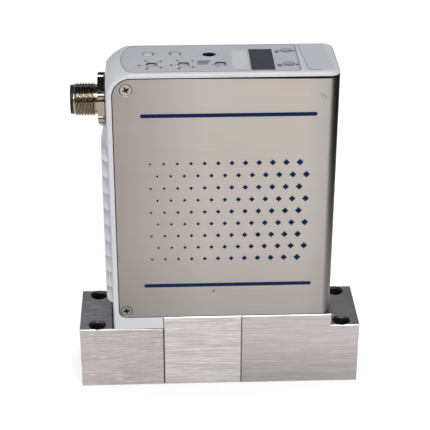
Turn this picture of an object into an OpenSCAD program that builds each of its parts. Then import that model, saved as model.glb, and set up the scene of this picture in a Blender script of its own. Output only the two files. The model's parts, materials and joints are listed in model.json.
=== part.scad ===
// Thermal mass flow controller for a surface-mount gas panel, in millimetres.
// X runs along the gas path, inlet at -X. Y runs from front to back. Z is up from the mounting face.
// The origin is the centre of the mounting face under the flow body.

/* [Flow body] */
// Length of the flow body along the gas path
body_l = 105; // [104.6:0.2:110]
// Depth of the flow body from front to back
body_d = 28.6; // [28.4:0.1:30]
// Height of the two ends that the mounting screws clamp
low_h = 25.2; // [24:0.1:26]
// Height of the deck that carries the sensor and the valve
deck_h = 30; // [29.5:0.1:32]
// Length of the inlet block as a share of the body
inlet_share = 0.299; // [0.297:0.001:0.302]
// Length of the outlet block as a share of the body
outlet_share = 0.423; // [0.42:0.001:0.425]
// Length of the lowered end of the outlet block
step_l = 10.6; // [9.8:0.1:11]
// Size of the chamfer on the outer edges of the blocks
block_chamfer = 0.3; // [0.2:0.05:0.5]
// Distance of the mounting holes from each end
mount_end = 6.5; // [5.5:0.1:7]
// Distance of the mounting holes from each side
mount_side = 3.4; // [3.1:0.1:4]
// Diameter of the mounting holes
mount_d = 5.2; // [4.4:0.1:5.4]
// Diameter of the chamfer at the top of the mounting holes
mount_edge_d = 6.6; // [5.8:0.1:6.8]
// Distance of the gas ports from each end
port_end = 12.6; // [12.2:0.1:13]
// Diameter of the gas passages
port_d = 4.6; // [3.8:0.1:5]
// Diameter of the seal pocket round each port
pocket_d = 11.3; // [10.8:0.1:11.6]
// Depth of the seal pocket round each port
pocket_h = 1.2; // [0.8:0.1:1.6]
// Height of the gas passage over the mounting face
flow_z = 13; // [12.4:0.1:13.4]

/* [Enclosure] */
// Height of the top face over the mounting face
total_h = 127.2; // [124:0.2:134]
// Distance from the inlet end of the body to the housing's rim
end_in = 13.3; // [13:0.1:13.8]
// Distance from the outlet end of the body to the side of the cover
end_out = 11.3; // [11.1:0.1:12]
// Gap between the deck and the lower edge of the cover
deck_gap = 0.5; // [0.3:0.1:1]
// Wall of the moulded housing
wall = 2.2; // [2:0.1:2.5]
// Width of the housing's rim round the cover
rim = 1.9; // [1.6:0.1:2.3]
// Width of the ledge behind the edge of the cover
ledge = 4.6; // [4:0.1:5.2]
// How far the grip stands out from the rim
bulge = 3.2; // [2.8:0.1:3.6]
// How far the flat face under the connector stands out from the rim
flat_out = 0.5; // [0.3:0.1:0.8]
// Radius of the upper corner of the bulged end
corner_r = 8.5; // [8:0.1:9.2]
// Radius of the upper edges along the front, the back and the outlet end
edge_r = 1.2; // [0.8:0.1:1.4]
// Height of the lower end of the grip over the lower edge of the cover
grip_up = 6.1; // [5:0.1:7]
// How far the middle of the grip bows out beyond its corners
grip_bow = 0.5; // [0.3:0.1:0.8]
// Radius of the upright corners of the grip
grip_corner_r = 3; // [2.6:0.1:3.2]
// Distance from the side faces of the housing to the sides of the grip
grip_side = 0.9; // [0.7:0.1:1.4]
// Radius of the lower end of the grip
grip_end_r = 2.6; // [2:0.1:2.9]
// Height of the ramp from the grip up to the flat face
ramp_h = 5.2; // [4:0.1:6]
// Number of finger scallops up each side of the grip
scallops = 10; // [8:1:10]
// Spacing of the scallops
scallop_pitch = 6.4; // [6.2:0.01:6.42]
// Height of the middle of the lowest scallop over the end of the grip
scallop_first = 3.2; // [3.1:0.05:3.4]
// Radius of each scallop
scallop_r = 5.4; // [5:0.1:6.4]
// Depth that each scallop sinks into the corner of the grip
scallop_in = 0.95; // [0.7:0.05:1.05]
// Thickness of the flange of the foot
foot_t = 3; // [2.6:0.1:3.2]

/* [Cover] */
// Thickness of the steel sheet
sheet_t = 0.9; // [0.7:0.05:1]
// Outer radius of the cover's bends
bend_r = 4; // [3:0.1:4.6]
// Radius of the upper corner of the cover
cover_corner_r = 6.6; // [6.2:0.1:7]
// Radius of the lower corner of the cover beside the screw
low_corner_r = 2.6; // [2:0.1:2.9]
// Gap between the cover and the housing
fit = 0.12; // [0.08:0.01:0.16]
// Gap between the rim of the housing and the edge of the sheet
rim_gap = 0.35; // [0.2:0.05:0.4]
// Inset of the upper screw from the left edge of the cover
screw_in_top = 4.7; // [4.2:0.1:5.2]
// Inset of the upper screw from the upper edge of the cover
screw_down_top = 3.9; // [3.6:0.1:4.3]
// Inset of the lower screw from the corner of the cover
screw_in_low = 2.6; // [2.5:0.05:3]
// Diameter of the head of the cover screws
head_d = 4.5; // [4:0.1:4.7]
// Diameter of the shank of the cover screws
shank_d = 2.5; // [2:0.1:2.6]
// Length of the cover screws
screw_l = 5.6; // [5:0.1:5.8]

/* [Printed pattern] */
// Width of the printed bars
bar_w = 1.1; // [0.8:0.1:1.6]
// Length of the printed bars as a share of the enclosure's length
bar_share = 0.759; // [0.65:0.001:0.79]
// Distance between the printed bars as a share of the cover's height
bar_gap_share = 0.716; // [0.65:0.001:0.72]
// Columns of diamonds in the printed field
cols = 12; // [8:1:14]
// Rows of diamonds in the printed field
rows = 9; // [6:1:10]
// Spacing of the diamonds as a share of the enclosure's length
cell_share = 0.0597; // [0.05:0.0001:0.061]
// Width of the smallest diamond
diamond_min = 1; // [0.8:0.1:1.4]
// Width of the largest diamond
diamond_max = 2.6; // [2:0.1:2.8]
// Thickness of the ink
ink_t = 0.04; // [0.03:0.01:0.06]

/* [Connector] */
// Distance of the connector's axis under the top face
conn_down = 14.8; // [14.4:0.1:15.6]
// Diameter of the threaded barrel
thread_d = 12; // [11.6:0.1:12.2]
// Length of the threaded barrel in front of the hexagon
thread_l = 8.6; // [8:0.1:8.7]
// Width across the flats of the hexagon
hex_af = 18; // [17:0.1:18.4]
// Thickness of the hexagon
hex_t = 2.6; // [2.2:0.1:2.6]
// How far the insert stands out of the barrel
lip = 1.1; // [0.8:0.1:1.1]
// Outer diameter of the insert
insert_d = 10.3; // [9.8:0.1:10.5]
// Diameter of the circle of pins
pin_circle_d = 7; // [6.6:0.1:7]
// Diameter of the pins
pin_d = 1; // [0.8:0.05:1.1]

/* [Top controls] */
// Length of the overlay as a share of the enclosure's length
overlay_share = 0.774; // [0.76:0.001:0.778]
// Distance of the overlay from the front and back faces
overlay_side = 1.6; // [1.4:0.1:1.8]
// Radius of the rounded end of the overlay
overlay_r = 27; // [24:0.5:30]
// Thickness of the overlay
overlay_t = 0.25; // [0.2:0.05:0.3]
// Distance of the overlay's left tip from the housing's rim
overlay_in = 4.6; // [4.4:0.1:5]
// Diameter of the lamp lenses
lens_d = 4.2; // [3.6:0.1:4.4]
// Diameter of the dials
dial_d = 3.2; // [2.8:0.1:3.4]
// Gap round the dials and buttons in the housing
hole_gap = 0.32; // [0.3:0.01:0.4]
// Depth of the dials under the top face
dial_down = 0.9; // [0.7:0.1:1.2]
// Diameter of the buttons
button_d = 3.2; // [2.8:0.1:3.6]
// Depth of the buttons under the top face
button_down = 0.5; // [0.3:0.1:0.8]
// Travel of the buttons
button_travel = 0.5; // [0.3:0.05:0.5]
// Diameter of the plug hole of the diagnostic jack
jack_d = 3.6; // [3.2:0.1:3.8]
// Outer diameter of the jack at the top face
jack_outer_d = 5.8; // [5.4:0.1:6]
// Width of the display window as a share of the enclosure's length
window_share = 0.102; // [0.095:0.001:0.103]
// Distance of the display window from the front and back faces, both together
window_side = 8.8; // [8.2:0.1:10]

/* [Sensor] */
// Distance between the legs of the sensor tube as a share of its base
leg_share = 0.417; // [0.38:0.001:0.43]
// Outer diameter of the sensor tube
tube_d = 0.9; // [0.7:0.05:1.1]
// Height of the sensor tube over its base
tube_h = 15; // [13:0.5:16]
// Radius of the bends of the sensor tube
tube_bend_r = 3; // [2.4:0.1:3.2]
// Diameter of the sensor windings
winding_d = 2; // [1.6:0.1:2.4]
// Height of the sensor can
can_h = 20; // [18.6:0.1:22]
// Diameter of the bore that holds the flow element
element_d = 11; // [10:0.1:11.4]
// Length of the flow element
element_l = 9.6; // [9:0.1:10]
// Number of channels round the flow element
channels = 24; // [16:1:28]

/* [Valve] */
// Diameter of the plunger as a share of the depth of the flow body
plunger_share = 0.238; // [0.225:0.001:0.245]
// Length of the plunger
plunger_l = 12; // [11.5:0.1:13]
// Travel of the plunger
plunger_travel = 0.4; // [0.2:0.05:0.5]
// Running clearance round the plunger
plunger_fit = 0.08; // [0.05:0.01:0.1]
// Diameter of the orifice in the valve seat
orifice_d = 1.2; // [0.8:0.1:1.4]
// Height of the yoke cup
yoke_h = 28; // [26:0.5:30]
// Gap between the yoke cup and the main board
yoke_gap = 0.6; // [0.5:0.1:1]
// Wire diameter of the return spring
wire_d = 0.5; // [0.4:0.05:0.6]
// Turns of the return spring
turns = 5; // [4:1:6]

/* [Hidden] */
$fn = 64;

// Places along the flow body
x_in = -body_l / 2;
x_out = body_l / 2;
seam_1 = x_in + body_l * inlet_share;
seam_2 = x_out - body_l * outlet_share;
half_d = body_d / 2;
mount_x = body_l / 2 - mount_end;
mount_y = half_d - mount_side;
port_x = body_l / 2 - port_end;
sensor_x = (seam_1 + seam_2) / 2;
valve_x = (seam_2 + x_out - step_l) / 2;
eps = 0.5;
tap = 0.02;

// Long screws that pull the inlet block to the centre block
body_screw_y = 0.392 * half_d;
body_screw_z = [flow_z - 7, flow_z + 7];
body_screw_d = 3;
body_head_d = 5.5;
body_head_h = 3;
body_screw_grip = 6;
body_screw_x = x_in + body_head_h + 0.3;
seal_wire = 1.2;
seal_d = element_d + 2 * seal_wire + 0.6;

// Screws of the foot into the inlet block
foot_screw_y = 0.629 * half_d;
foot_screw_d = 2.5;
foot_screw_in = 6;

// Outline of the enclosure
rim_x = x_in + end_in;
side_x = x_out - end_out;
grip_x = rim_x - bulge;
flat_x = rim_x - flat_out;
arc_r = (half_d * half_d + bulge * bulge) / (2 * bulge);
arc_x = grip_x + arc_r;
enclosure_z = deck_h + deck_gap;
inner_top = total_h - wall;
cover_x = rim_x + rim;
cover_top = total_h - rim;
foot_end = seam_1 - fit;
foot_screw_x = (rim_x + foot_end) / 2 + 1;
grip_z = enclosure_z + grip_up;
grip_half = half_d - grip_side;
grip_y = grip_half - grip_corner_r;
grip_r = grip_y * grip_y / (2 * grip_bow);
grip_corner_x = grip_x + grip_r - sqrt(pow(grip_r - grip_corner_r, 2) - grip_y * grip_y);
scallop_turn = 55;

// Places of the cover screws, as [x, z]
screw_places = [
    [cover_x + screw_in_top, cover_top - screw_down_top],
    [cover_x + screw_in_low, enclosure_z + screw_in_low]];
boss_d = 5.6;
insert_l = 3.6;
insert_r = shank_d / 2 + 0.8;

// Levels of the top controls
board_t = 1.6;
top_board_z = inner_top - 6;
top_board_top = top_board_z + board_t;
switch_h = 4;
dial_top = total_h - dial_down;
dial_l = 3.6;
lamp_chip_h = 0.6;
post_screw_l = 5;
shaft_fit = 0.06;
button_top = total_h - button_down;
button_cap_h = 2.3;
stem_d = 2.2;
jack_body_r = 3.6;
jack_body_l = 9;
window_t = 1.2;
button_body_h = button_top - button_cap_h - button_travel - 0.25 - top_board_top;

// Places of the top controls, as [x, y]: shares of the enclosure's length and depth
top_l = side_x - rim_x;
dial_y = -0.385 * half_d;
lamp_y = 0.336 * half_d;
dial_places = [for (k = [0.193, 0.33, 0.489]) [rim_x + k * top_l, dial_y]];
lamp_places = [for (k = [0.178, 0.295]) [rim_x + k * top_l, lamp_y]];
button_places = [for (k = [0.46, -0.448]) [rim_x + 0.784 * top_l, k * half_d]];
jack_place = [rim_x + 0.444 * top_l, 0.266 * half_d];
window_place = [rim_x + 0.67 * top_l, -0.12 * half_d];
window_w = window_share * top_l;
window_d = body_d - window_side;
overlay_l = overlay_share * top_l;
overlay_d = body_d - 2 * overlay_side;
tape_place = [rim_x + 0.577 * top_l, -0.14 * half_d];
tape_size = [0.08 * top_l, body_d - 11.4];
label_place = [side_x - 0.0915 * top_l, 0];
label_size = [0.112 * top_l, body_d - 5];
label_t = 0.1;
label_turn = 4.4;
dial_switch_w = 0.087 * top_l;
post_d = 3.8;
post_y = half_d - wall - post_d / 2 - 0.6;
post_places = [[rim_x + 0.236 * top_l, post_y], [rim_x + 0.41 * top_l, -post_y],
    [side_x - 0.12 * top_l, 0.6 * half_d], [side_x - 0.12 * top_l, -0.6 * half_d]];
top_board_x = [rim_x + 0.142 * top_l, side_x - wall - 3];
top_board_half = half_d - wall - 0.3;

// Connector stack from the flat face outwards
conn_z = total_h - conn_down;
gasket_t = 0.4;
hex_x = flat_x - gasket_t - hex_t;
barrel_x = hex_x - thread_l;
tip_x = barrel_x - lip;
hex_corner = hex_af / sqrt(3);
grip_top = conn_z - hex_corner - 0.3;
flat_in_x = flat_x + wall;
nut_t = 2.8;
nut_af = hex_af - 2;
rear_x = flat_in_x + nut_t + 0.6;
insert_rear_x = rear_x + 0.8;
socket_depth = 8;
floor_x = tip_x + socket_depth;
conn_board_x = insert_rear_x + 0.4;

// Sensor stack over the deck
base_l = seam_2 - seam_1 - 0.4;
leg_gap = base_l * leg_share;
base_d = body_d - 15.6;
base_h = 3;
can_l = base_l - 10.4;
can_d = base_d - 1;
can_t = 0.6;
sensor_screw_dx = base_l / 2 - 2.6;
sensor_top = deck_h + base_h + can_h;

// Valve stack over the deck
pocket_r = 0.56 * half_d;
valve_floor = deck_h - 9;
seat_h = 3;
seat_top = valve_floor + seat_h;
seat_lip = 0.8;
plunger_z = seat_top + seat_lip;
plunger_top = plunger_z + plunger_l;
core_z = plunger_top + plunger_travel + 0.2;
plunger_d = body_d * plunger_share;
guide_r = plunger_d / 2 + plunger_fit;
guide_wall = 0.8;
flange_h = 4;
flange_z = deck_h - flange_h;
clamp_h = 3.5;
yoke_z = deck_h + clamp_h;
yoke_t = 1;
yoke_top = yoke_z + yoke_h;
cap_t = 1.6;
cap_top = yoke_top + cap_t;
stud_d = 4;
stud_l = 5;
clamp_dx = 7.4;
clamp_dy = half_d - 5.7;
board_y = half_d - 5.7;
yoke_d = 2 * (board_y - yoke_gap);
outflow_r = 0.7 * pocket_r;
deck_screw_d = 2.5;
deck_screw_in = 6;
deck_head_d = 3.8;
seal_groove = 0.9;
sensor_screw_places = [for (s = [-1, 1]) [sensor_x + s * sensor_screw_dx, 0]];
clamp_screw_places = [for (sx = [-1, 1], sy = [-1, 1]) [valve_x + sx * clamp_dx, sy * clamp_dy]];
spring_pocket_r = 2.2;
spring_pocket_h = 6;
spring_r = spring_pocket_r - wire_d / 2 - 0.15;
disc_r = 1.6;
disc_h = 1.2;

// Main board and its bracket
spacer_t = 1.2;
bracket_t = 1.2;
bracket_y = board_y + board_t + spacer_t;
board_x = [rim_x + 9.4, side_x - 3.4];
board_z = [deck_h + 18, total_h - 11.4];
bracket_w = 0.8 * base_l;
bracket_x = sensor_x;
bracket_foot_y = base_d / 2 + 0.7;
bracket_screw_dx = bracket_w / 2 - 3;
bracket_screw_y = bracket_foot_y + 2.1;
board_screw_dx = bracket_w / 2 - 3;
bracket_screw_places = [for (s = [-1, 1]) [bracket_x + s * bracket_screw_dx, bracket_screw_y]];
board_l = board_x[1] - board_x[0];
board_h = board_z[1] - board_z[0];
board_screw_z = [for (k = [0.0885, 0.8525]) board_z[0] + k * board_h];
link_w = 0.26 * board_l;
link_d = 5;
link_down = 4;
link_x = rim_x + 0.62 * top_l;

// Round-cornered plate in plan, from its centre
module plate_2d(size, r) {
    hx = size[0] / 2 - r;
    hy = size[1] / 2 - r;
    square([size[0], size[1] - 2 * r], center = true);
    square([size[0] - 2 * r, size[1]], center = true);
    for (sx = [-1, 1], sy = [-1, 1])
        translate([sx * hx, sy * hy]) circle(r);
}

// Plan of the enclosure from one X to another, round at the outlet end
module plan_2d(x0, x1, half, r) {
    translate([x0, -half]) square([x1 - r - x0, 2 * half]);
    translate([x0, -(half - r)]) square([x1 - x0, 2 * (half - r)]);
    for (s = [-1, 1])
        translate([x1 - r, s * (half - r)]) circle(r);
}

// Upright profile with both upper corners round
module arch_2d(half, z0, z1, r) {
    translate([-half, z0]) square([2 * half, z1 - r - z0]);
    translate([-(half - r), z0]) square([2 * (half - r), z1 - z0]);
    for (s = [-1, 1])
        translate([s * (half - r), z1 - r]) circle(r);
}

// Upright profile from the axis outwards, with its upper outer corner round
module shoulder_2d(width, z0, z1, r) {
    translate([0, z0]) square([width, z1 - r - z0]);
    translate([0, z0]) square([width - r, z1 - z0]);
    translate([width - r, z1 - r]) circle(r);
}

// Lays a profile drawn in X and Z from one Y to another
module along_y(y0, y1) {
    translate([0, y1, 0]) rotate([90, 0, 0]) linear_extrude(y1 - y0) children();
}

// Lays a profile drawn in Y and Z from one X to another
module along_x(x0, x1) {
    translate([x0, 0, 0]) rotate([90, 0, 90]) linear_extrude(x1 - x0) children();
}

// Bar of round section along X
module rod_x(x0, x1, r, y = 0, z = 0) {
    translate([x0, y, z]) rotate([0, 90, 0]) cylinder(h = x1 - x0, r = r);
}

// Round section between two heights
module rod_z(x, y, z0, z1, r) {
    translate([x, y, z0]) cylinder(h = z1 - z0, r = r);
}

// Ring of round wire that lies flat
module ring(outer_d, wire) {
    rotate_extrude() translate([outer_d / 2 - wire / 2, 0]) circle(wire / 2, $fn = 24);
}

// Block with its long edges and its upright edges broken
module block_form(x0, x1, h) {
    c = block_chamfer;
    intersection() {
        along_x(x0, x1)
            polygon([[-half_d + c, 0], [half_d - c, 0], [half_d, c], [half_d, h - c], [half_d - c, h],
                [-half_d + c, h], [-half_d, h - c], [-half_d, c]]);
        linear_extrude(h)
            polygon([[x0 + c, -half_d], [x1 - c, -half_d], [x1, -half_d + c], [x1, half_d - c],
                [x1 - c, half_d], [x0 + c, half_d], [x0, half_d - c], [x0, -half_d + c]]);
    }
}

// Mounting hole with its chamfer
module mount_hole(x, y) {
    edge = (mount_edge_d - mount_d) / 2;
    rod_z(x, y, -eps, low_h + eps, mount_d / 2);
    translate([x, y, low_h - edge])
        cylinder(h = edge + 0.01, r1 = mount_d / 2, r2 = mount_edge_d / 2 + 0.01);
}

// Port in the mounting face: seal pocket and passage up to a height
module port(x, z_top) {
    rod_z(x, 0, -eps, pocket_h, pocket_d / 2);
    rod_z(x, 0, 0, z_top, port_d / 2);
}

module inlet_block() {
    color([0.78, 0.77, 0.76])
    difference() {
        block_form(x_in, seam_1, low_h);
        for (s = [-1, 1]) mount_hole(-mount_x, s * mount_y);
        port(-port_x, flow_z);
        rod_x(-port_x, seam_1 + eps, port_d / 2, 0, flow_z);
        for (s = [-1, 1], z = body_screw_z) {
            rod_x(x_in - eps, seam_1 + eps, body_screw_d / 2 + 0.15, s * body_screw_y, z);
            rod_x(x_in - eps, body_screw_x, body_head_d / 2 + 0.15, s * body_screw_y, z);
        }
        for (s = [-1, 1])
            rod_z(foot_screw_x, s * foot_screw_y, low_h - foot_screw_in - 0.5, low_h + eps,
                foot_screw_d / 2 + tap);
    }
}

module center_block() {
    color([0.8, 0.79, 0.78])
    difference() {
        block_form(seam_1, seam_2, deck_h);
        rod_x(seam_1 - eps, sensor_x + element_l / 2 + 4, element_d / 2, 0, flow_z);
        rod_x(sensor_x, seam_2 + eps, port_d / 2, 0, flow_z);
        rod_x(seam_1 - eps, seam_1 + seal_wire, seal_d / 2 + 0.1, 0, flow_z);
        for (s = [-1, 1], z = body_screw_z)
            rod_x(seam_1 - eps, seam_1 + body_screw_grip + 0.5, body_screw_d / 2 + tap,
                s * body_screw_y, z);
        for (s = [-1, 1]) {
            rod_z(sensor_x + s * leg_gap / 2, 0, flow_z, deck_h + eps, 0.5);
            rod_z(sensor_x + s * leg_gap / 2, 0, deck_h - seal_groove, deck_h + eps, 1.8);
        }
        for (p = concat(sensor_screw_places, bracket_screw_places)) deck_hole(p);
    }
}

module outlet_block() {
    drill_r = 1.6;
    drill_z = 6.5;
    run = port_x - valve_x - outflow_r;
    rise = valve_floor - drill_z;
    color([0.79, 0.78, 0.77])
    difference() {
        union() {
            block_form(seam_2, x_out - step_l, deck_h);
            block_form(seam_2, x_out, low_h);
        }
        for (s = [-1, 1]) mount_hole(mount_x, s * mount_y);
        port(port_x, drill_z + 1.5);
        rod_x(seam_2 - eps, valve_x, port_d / 2, 0, flow_z);
        rod_z(valve_x, 0, flow_z, valve_floor + eps, 1.6);
        rod_z(valve_x, 0, valve_floor, deck_h + eps, pocket_r);
        translate([port_x, 0, drill_z]) rotate([0, -atan2(run, rise), 0])
            cylinder(h = norm([run, rise]) + 1, r = drill_r);
        for (p = clamp_screw_places) deck_hole(p);
    }
}

// Tapped hole in the deck
module deck_hole(p) {
    rod_z(p[0], p[1], deck_h - deck_screw_in - 0.5, deck_h + eps, deck_screw_d / 2 + tap);
}

// Socket head screw that points down, with the underside of its head at z = 0
module socket_screw(d, l, head_diameter, head_height) {
    difference() {
        cylinder(h = head_height, r = head_diameter / 2);
        translate([0, 0, head_height * 0.45]) cylinder(h = head_height, r = d * 0.45, $fn = 6);
    }
    translate([0, 0, -l]) cylinder(h = l, r = d / 2);
}

module body_screws() {
    color([0.6, 0.6, 0.6])
    for (s = [-1, 1], z = body_screw_z)
        translate([body_screw_x, s * body_screw_y, z]) rotate([0, -90, 0])
            socket_screw(body_screw_d, seam_1 + body_screw_grip - body_screw_x, body_head_d, body_head_h);
}

module body_seal() {
    color([0.85, 0.83, 0.8])
    translate([seam_1 + seal_wire / 2, 0, flow_z]) rotate([0, 90, 0]) ring(seal_d, seal_wire);
}

// Cylinder with open channels round its rim, and a cone at the inlet end
module flow_element() {
    r = element_d / 2 - 0.03;
    color([0.75, 0.74, 0.72]) {
        difference() {
            rod_x(sensor_x - element_l / 2, sensor_x + element_l / 2, r, 0, flow_z);
            for (i = [0 : channels - 1])
                translate([0, 0, flow_z]) rotate([i * 360 / channels, 0, 0])
                    translate([sensor_x - element_l / 2 - eps, -0.25, r - 1.1])
                        cube([element_l + 2 * eps, 0.5, 2]);
        }
        translate([sensor_x - element_l / 2 - 1.6, 0, flow_z]) rotate([0, 90, 0])
            cylinder(h = 1.6, r1 = 1, r2 = r - 1.6);
    }
}

module sensor_base() {
    color([0.72, 0.72, 0.72])
    difference() {
        translate([sensor_x, 0, deck_h]) linear_extrude(base_h) plate_2d([base_l, base_d], 1.5);
        for (s = [-1, 1])
            rod_z(sensor_x + s * leg_gap / 2, 0, deck_h - eps, deck_h + base_h + eps, tube_d / 2 + tap);
        for (p = sensor_screw_places)
            rod_z(p[0], p[1], deck_h - eps, deck_h + base_h + eps, deck_screw_d / 2 + 0.15);
    }
}

module sensor_seals() {
    color([0.2, 0.2, 0.2])
    for (s = [-1, 1])
        translate([sensor_x + s * leg_gap / 2, 0, deck_h - seal_groove / 2]) ring(3.4, seal_groove);
}

// U-shaped capillary: two legs, two bends and the heated stretch between them
module sensor_tube() {
    z0 = deck_h + 0.2;
    z1 = deck_h + base_h + tube_h;
    r = tube_bend_r;
    color([0.8, 0.8, 0.78]) {
        for (s = [-1, 1]) {
            rod_z(sensor_x + s * leg_gap / 2, 0, z0, z1 - r, tube_d / 2, $fn = 24);
            translate([sensor_x + s * (leg_gap / 2 - r), 0, z1 - r]) rotate([90, 0, 0])
                rotate([0, 0, s > 0 ? 0 : 90]) rotate_extrude(angle = 90)
                    translate([r, 0]) circle(tube_d / 2, $fn = 24);
        }
        rod_x(sensor_x - leg_gap / 2 + r, sensor_x + leg_gap / 2 - r, tube_d / 2, 0, z1, $fn = 24);
    }
}

module sensor_windings() {
    z = deck_h + base_h + tube_h;
    reach = leg_gap / 2 - tube_bend_r;
    color([0.72, 0.4, 0.2])
    for (s = [0, 1])
        difference() {
            rod_x(sensor_x - reach + 0.1 + s * (reach + 0.1), sensor_x - 0.2 + s * (reach + 0.1),
                winding_d / 2, 0, z);
            rod_x(sensor_x - reach - 1, sensor_x + reach + 1, tube_d / 2 + 0.02, 0, z);
        }
}

module sensor_can() {
    z0 = deck_h + base_h;
    color([0.82, 0.82, 0.8])
    difference() {
        translate([sensor_x, 0, z0]) linear_extrude(can_h) plate_2d([can_l, can_d], 1.2);
        translate([sensor_x, 0, z0 - eps]) linear_extrude(can_h - can_t + eps)
            plate_2d([can_l - 2 * can_t, can_d - 2 * can_t], 0.8);
    }
}

// Disc in the valve pocket with its orifice, raised lip and outflow holes
module valve_seat() {
    color([0.7, 0.7, 0.7])
    difference() {
        union() {
            rod_z(valve_x, 0, valve_floor, seat_top, pocket_r - 0.05);
            rod_z(valve_x, 0, seat_top - 0.01, plunger_z, orifice_d / 2 + 0.6);
        }
        rod_z(valve_x, 0, valve_floor - eps, plunger_z + eps, orifice_d / 2);
        for (i = [0 : 5])
            translate([valve_x, 0, 0]) rotate([0, 0, i * 60])
                rod_z(outflow_r, 0, valve_floor - eps, seat_top + eps, 0.9);
    }
}

// Steel plunger with its spring pocket above and the recess for the soft disc below
module valve_plunger() {
    color([0.66, 0.66, 0.68])
    difference() {
        rod_z(valve_x, 0, plunger_z, plunger_top, plunger_d / 2);
        rod_z(valve_x, 0, plunger_z - eps, plunger_z + disc_h, disc_r);
        rod_z(valve_x, 0, plunger_top - spring_pocket_h, plunger_top + eps, spring_pocket_r);
        for (s = [-1, 1])
            translate([valve_x + s * (plunger_d / 2), -0.5, plunger_z - eps])
                translate([-0.5, 0, 0]) cube([1, 1, plunger_l + 2 * eps]);
    }
}

module plunger_disc() {
    color([0.15, 0.15, 0.15])
    rod_z(valve_x, 0, plunger_z, plunger_z + disc_h, disc_r);
}

// Points of one turn of wire section, placed on the helix
spring_steps = 12;
spring_sides = 6;
spring_z = plunger_top - spring_pocket_h + wire_d / 2;
spring_l = core_z - spring_z - wire_d / 2;
function spring_point(i, j) =
    let (turn = i / spring_steps, a = 360 * turn, b = 360 * j / spring_sides,
        r = spring_r + wire_d / 2 * cos(b))
    [r * cos(a), r * sin(a), spring_l * turn / turns + wire_d / 2 * sin(b)];

module valve_spring() {
    n = turns * spring_steps;
    m = spring_sides;
    points = [for (i = [0 : n], j = [0 : m - 1]) spring_point(i, j)];
    walls = [for (i = [0 : n - 1], j = [0 : m - 1])
        [i * m + j, (i + 1) * m + j, (i + 1) * m + (j + 1) % m, i * m + (j + 1) % m]];
    ends = [[for (j = [0 : m - 1]) j], [for (j = [m - 1 : -1 : 0]) n * m + j]];
    color([0.75, 0.75, 0.75])
    translate([valve_x, 0, spring_z]) polyhedron(points, concat(walls, ends));
}

// Tube that guides the plunger, with the flange that closes the pocket
module guide_tube() {
    color([0.76, 0.76, 0.78])
    difference() {
        union() {
            rod_z(valve_x, 0, flange_z, deck_h, pocket_r - 0.1);
            rod_z(valve_x, 0, flange_z, yoke_top, guide_r + guide_wall);
        }
        rod_z(valve_x, 0, flange_z - eps, yoke_top + eps, guide_r);
    }
}

module valve_seal() {
    color([0.2, 0.2, 0.2])
    translate([valve_x, 0, (seat_top + flange_z) / 2])
        ring(2 * pocket_r - 0.1, flange_z - seat_top - 0.02);
}

module clamp_plate() {
    color([0.7, 0.7, 0.7])
    difference() {
        translate([valve_x, 0, deck_h]) linear_extrude(clamp_h)
            plate_2d([2 * clamp_dx + 6, 2 * clamp_dy + 6], 2);
        rod_z(valve_x, 0, deck_h - eps, yoke_z + eps, guide_r + guide_wall + 0.05);
        for (p = clamp_screw_places)
            rod_z(p[0], p[1], deck_h - eps, yoke_z + eps, deck_screw_d / 2 + 0.15);
    }
}

// Screws into the deck: two at the sensor, four at the valve and two at the board bracket
module deck_screws() {
    color([0.6, 0.6, 0.6]) {
        for (p = sensor_screw_places) deck_screw(p, base_h);
        for (p = clamp_screw_places) deck_screw(p, clamp_h);
        for (p = bracket_screw_places) deck_screw(p, bracket_t);
    }
}

module deck_screw(p, grip) {
    translate([p[0], p[1], deck_h + grip])
        socket_screw(deck_screw_d, deck_screw_in + grip, deck_head_d, 2.2);
}

// Fixed core that closes the guide tube, with the stud for the nut
module valve_core() {
    color([0.66, 0.66, 0.68]) {
        rod_z(valve_x, 0, core_z, yoke_top, guide_r - 0.02);
        rod_z(valve_x, 0, yoke_top - 0.01, cap_top + stud_l, stud_d / 2);
    }
}

// Coil on its bobbin: two flanges and the winding between them
module valve_coil() {
    inner = guide_r + guide_wall + 0.05;
    outer = yoke_d / 2 - yoke_t - 0.15;
    z0 = yoke_z + yoke_t + 0.05;
    z1 = yoke_top - 0.05;
    color([0.3, 0.3, 0.3])
    difference() {
        union() {
            rod_z(valve_x, 0, z0, z0 + 1, outer);
            rod_z(valve_x, 0, z0 + 0.9, z1 - 0.9, outer - 0.5);
            rod_z(valve_x, 0, z1 - 1, z1, outer);
        }
        rod_z(valve_x, 0, z0 - eps, z1 + eps, inner);
    }
}

module valve_yoke() {
    color([0.6, 0.62, 0.64])
    difference() {
        rod_z(valve_x, 0, yoke_z, yoke_top, yoke_d / 2);
        rod_z(valve_x, 0, yoke_z + yoke_t, yoke_top + eps, yoke_d / 2 - yoke_t);
        rod_z(valve_x, 0, yoke_z - eps, yoke_top, guide_r + guide_wall + 0.05);
    }
}

module yoke_cap() {
    color([0.6, 0.62, 0.64])
    difference() {
        rod_z(valve_x, 0, yoke_top, cap_top, yoke_d / 2);
        rod_z(valve_x, 0, yoke_top - eps, cap_top + eps, stud_d / 2 + 0.05);
    }
}

module valve_nut() {
    color([0.7, 0.7, 0.7])
    difference() {
        translate([valve_x, 0, cap_top]) cylinder(h = 3.2, r = 4, $fn = 6);
        rod_z(valve_x, 0, cap_top - eps, cap_top + 4, stud_d / 2 + 0.02);
    }
}

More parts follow.
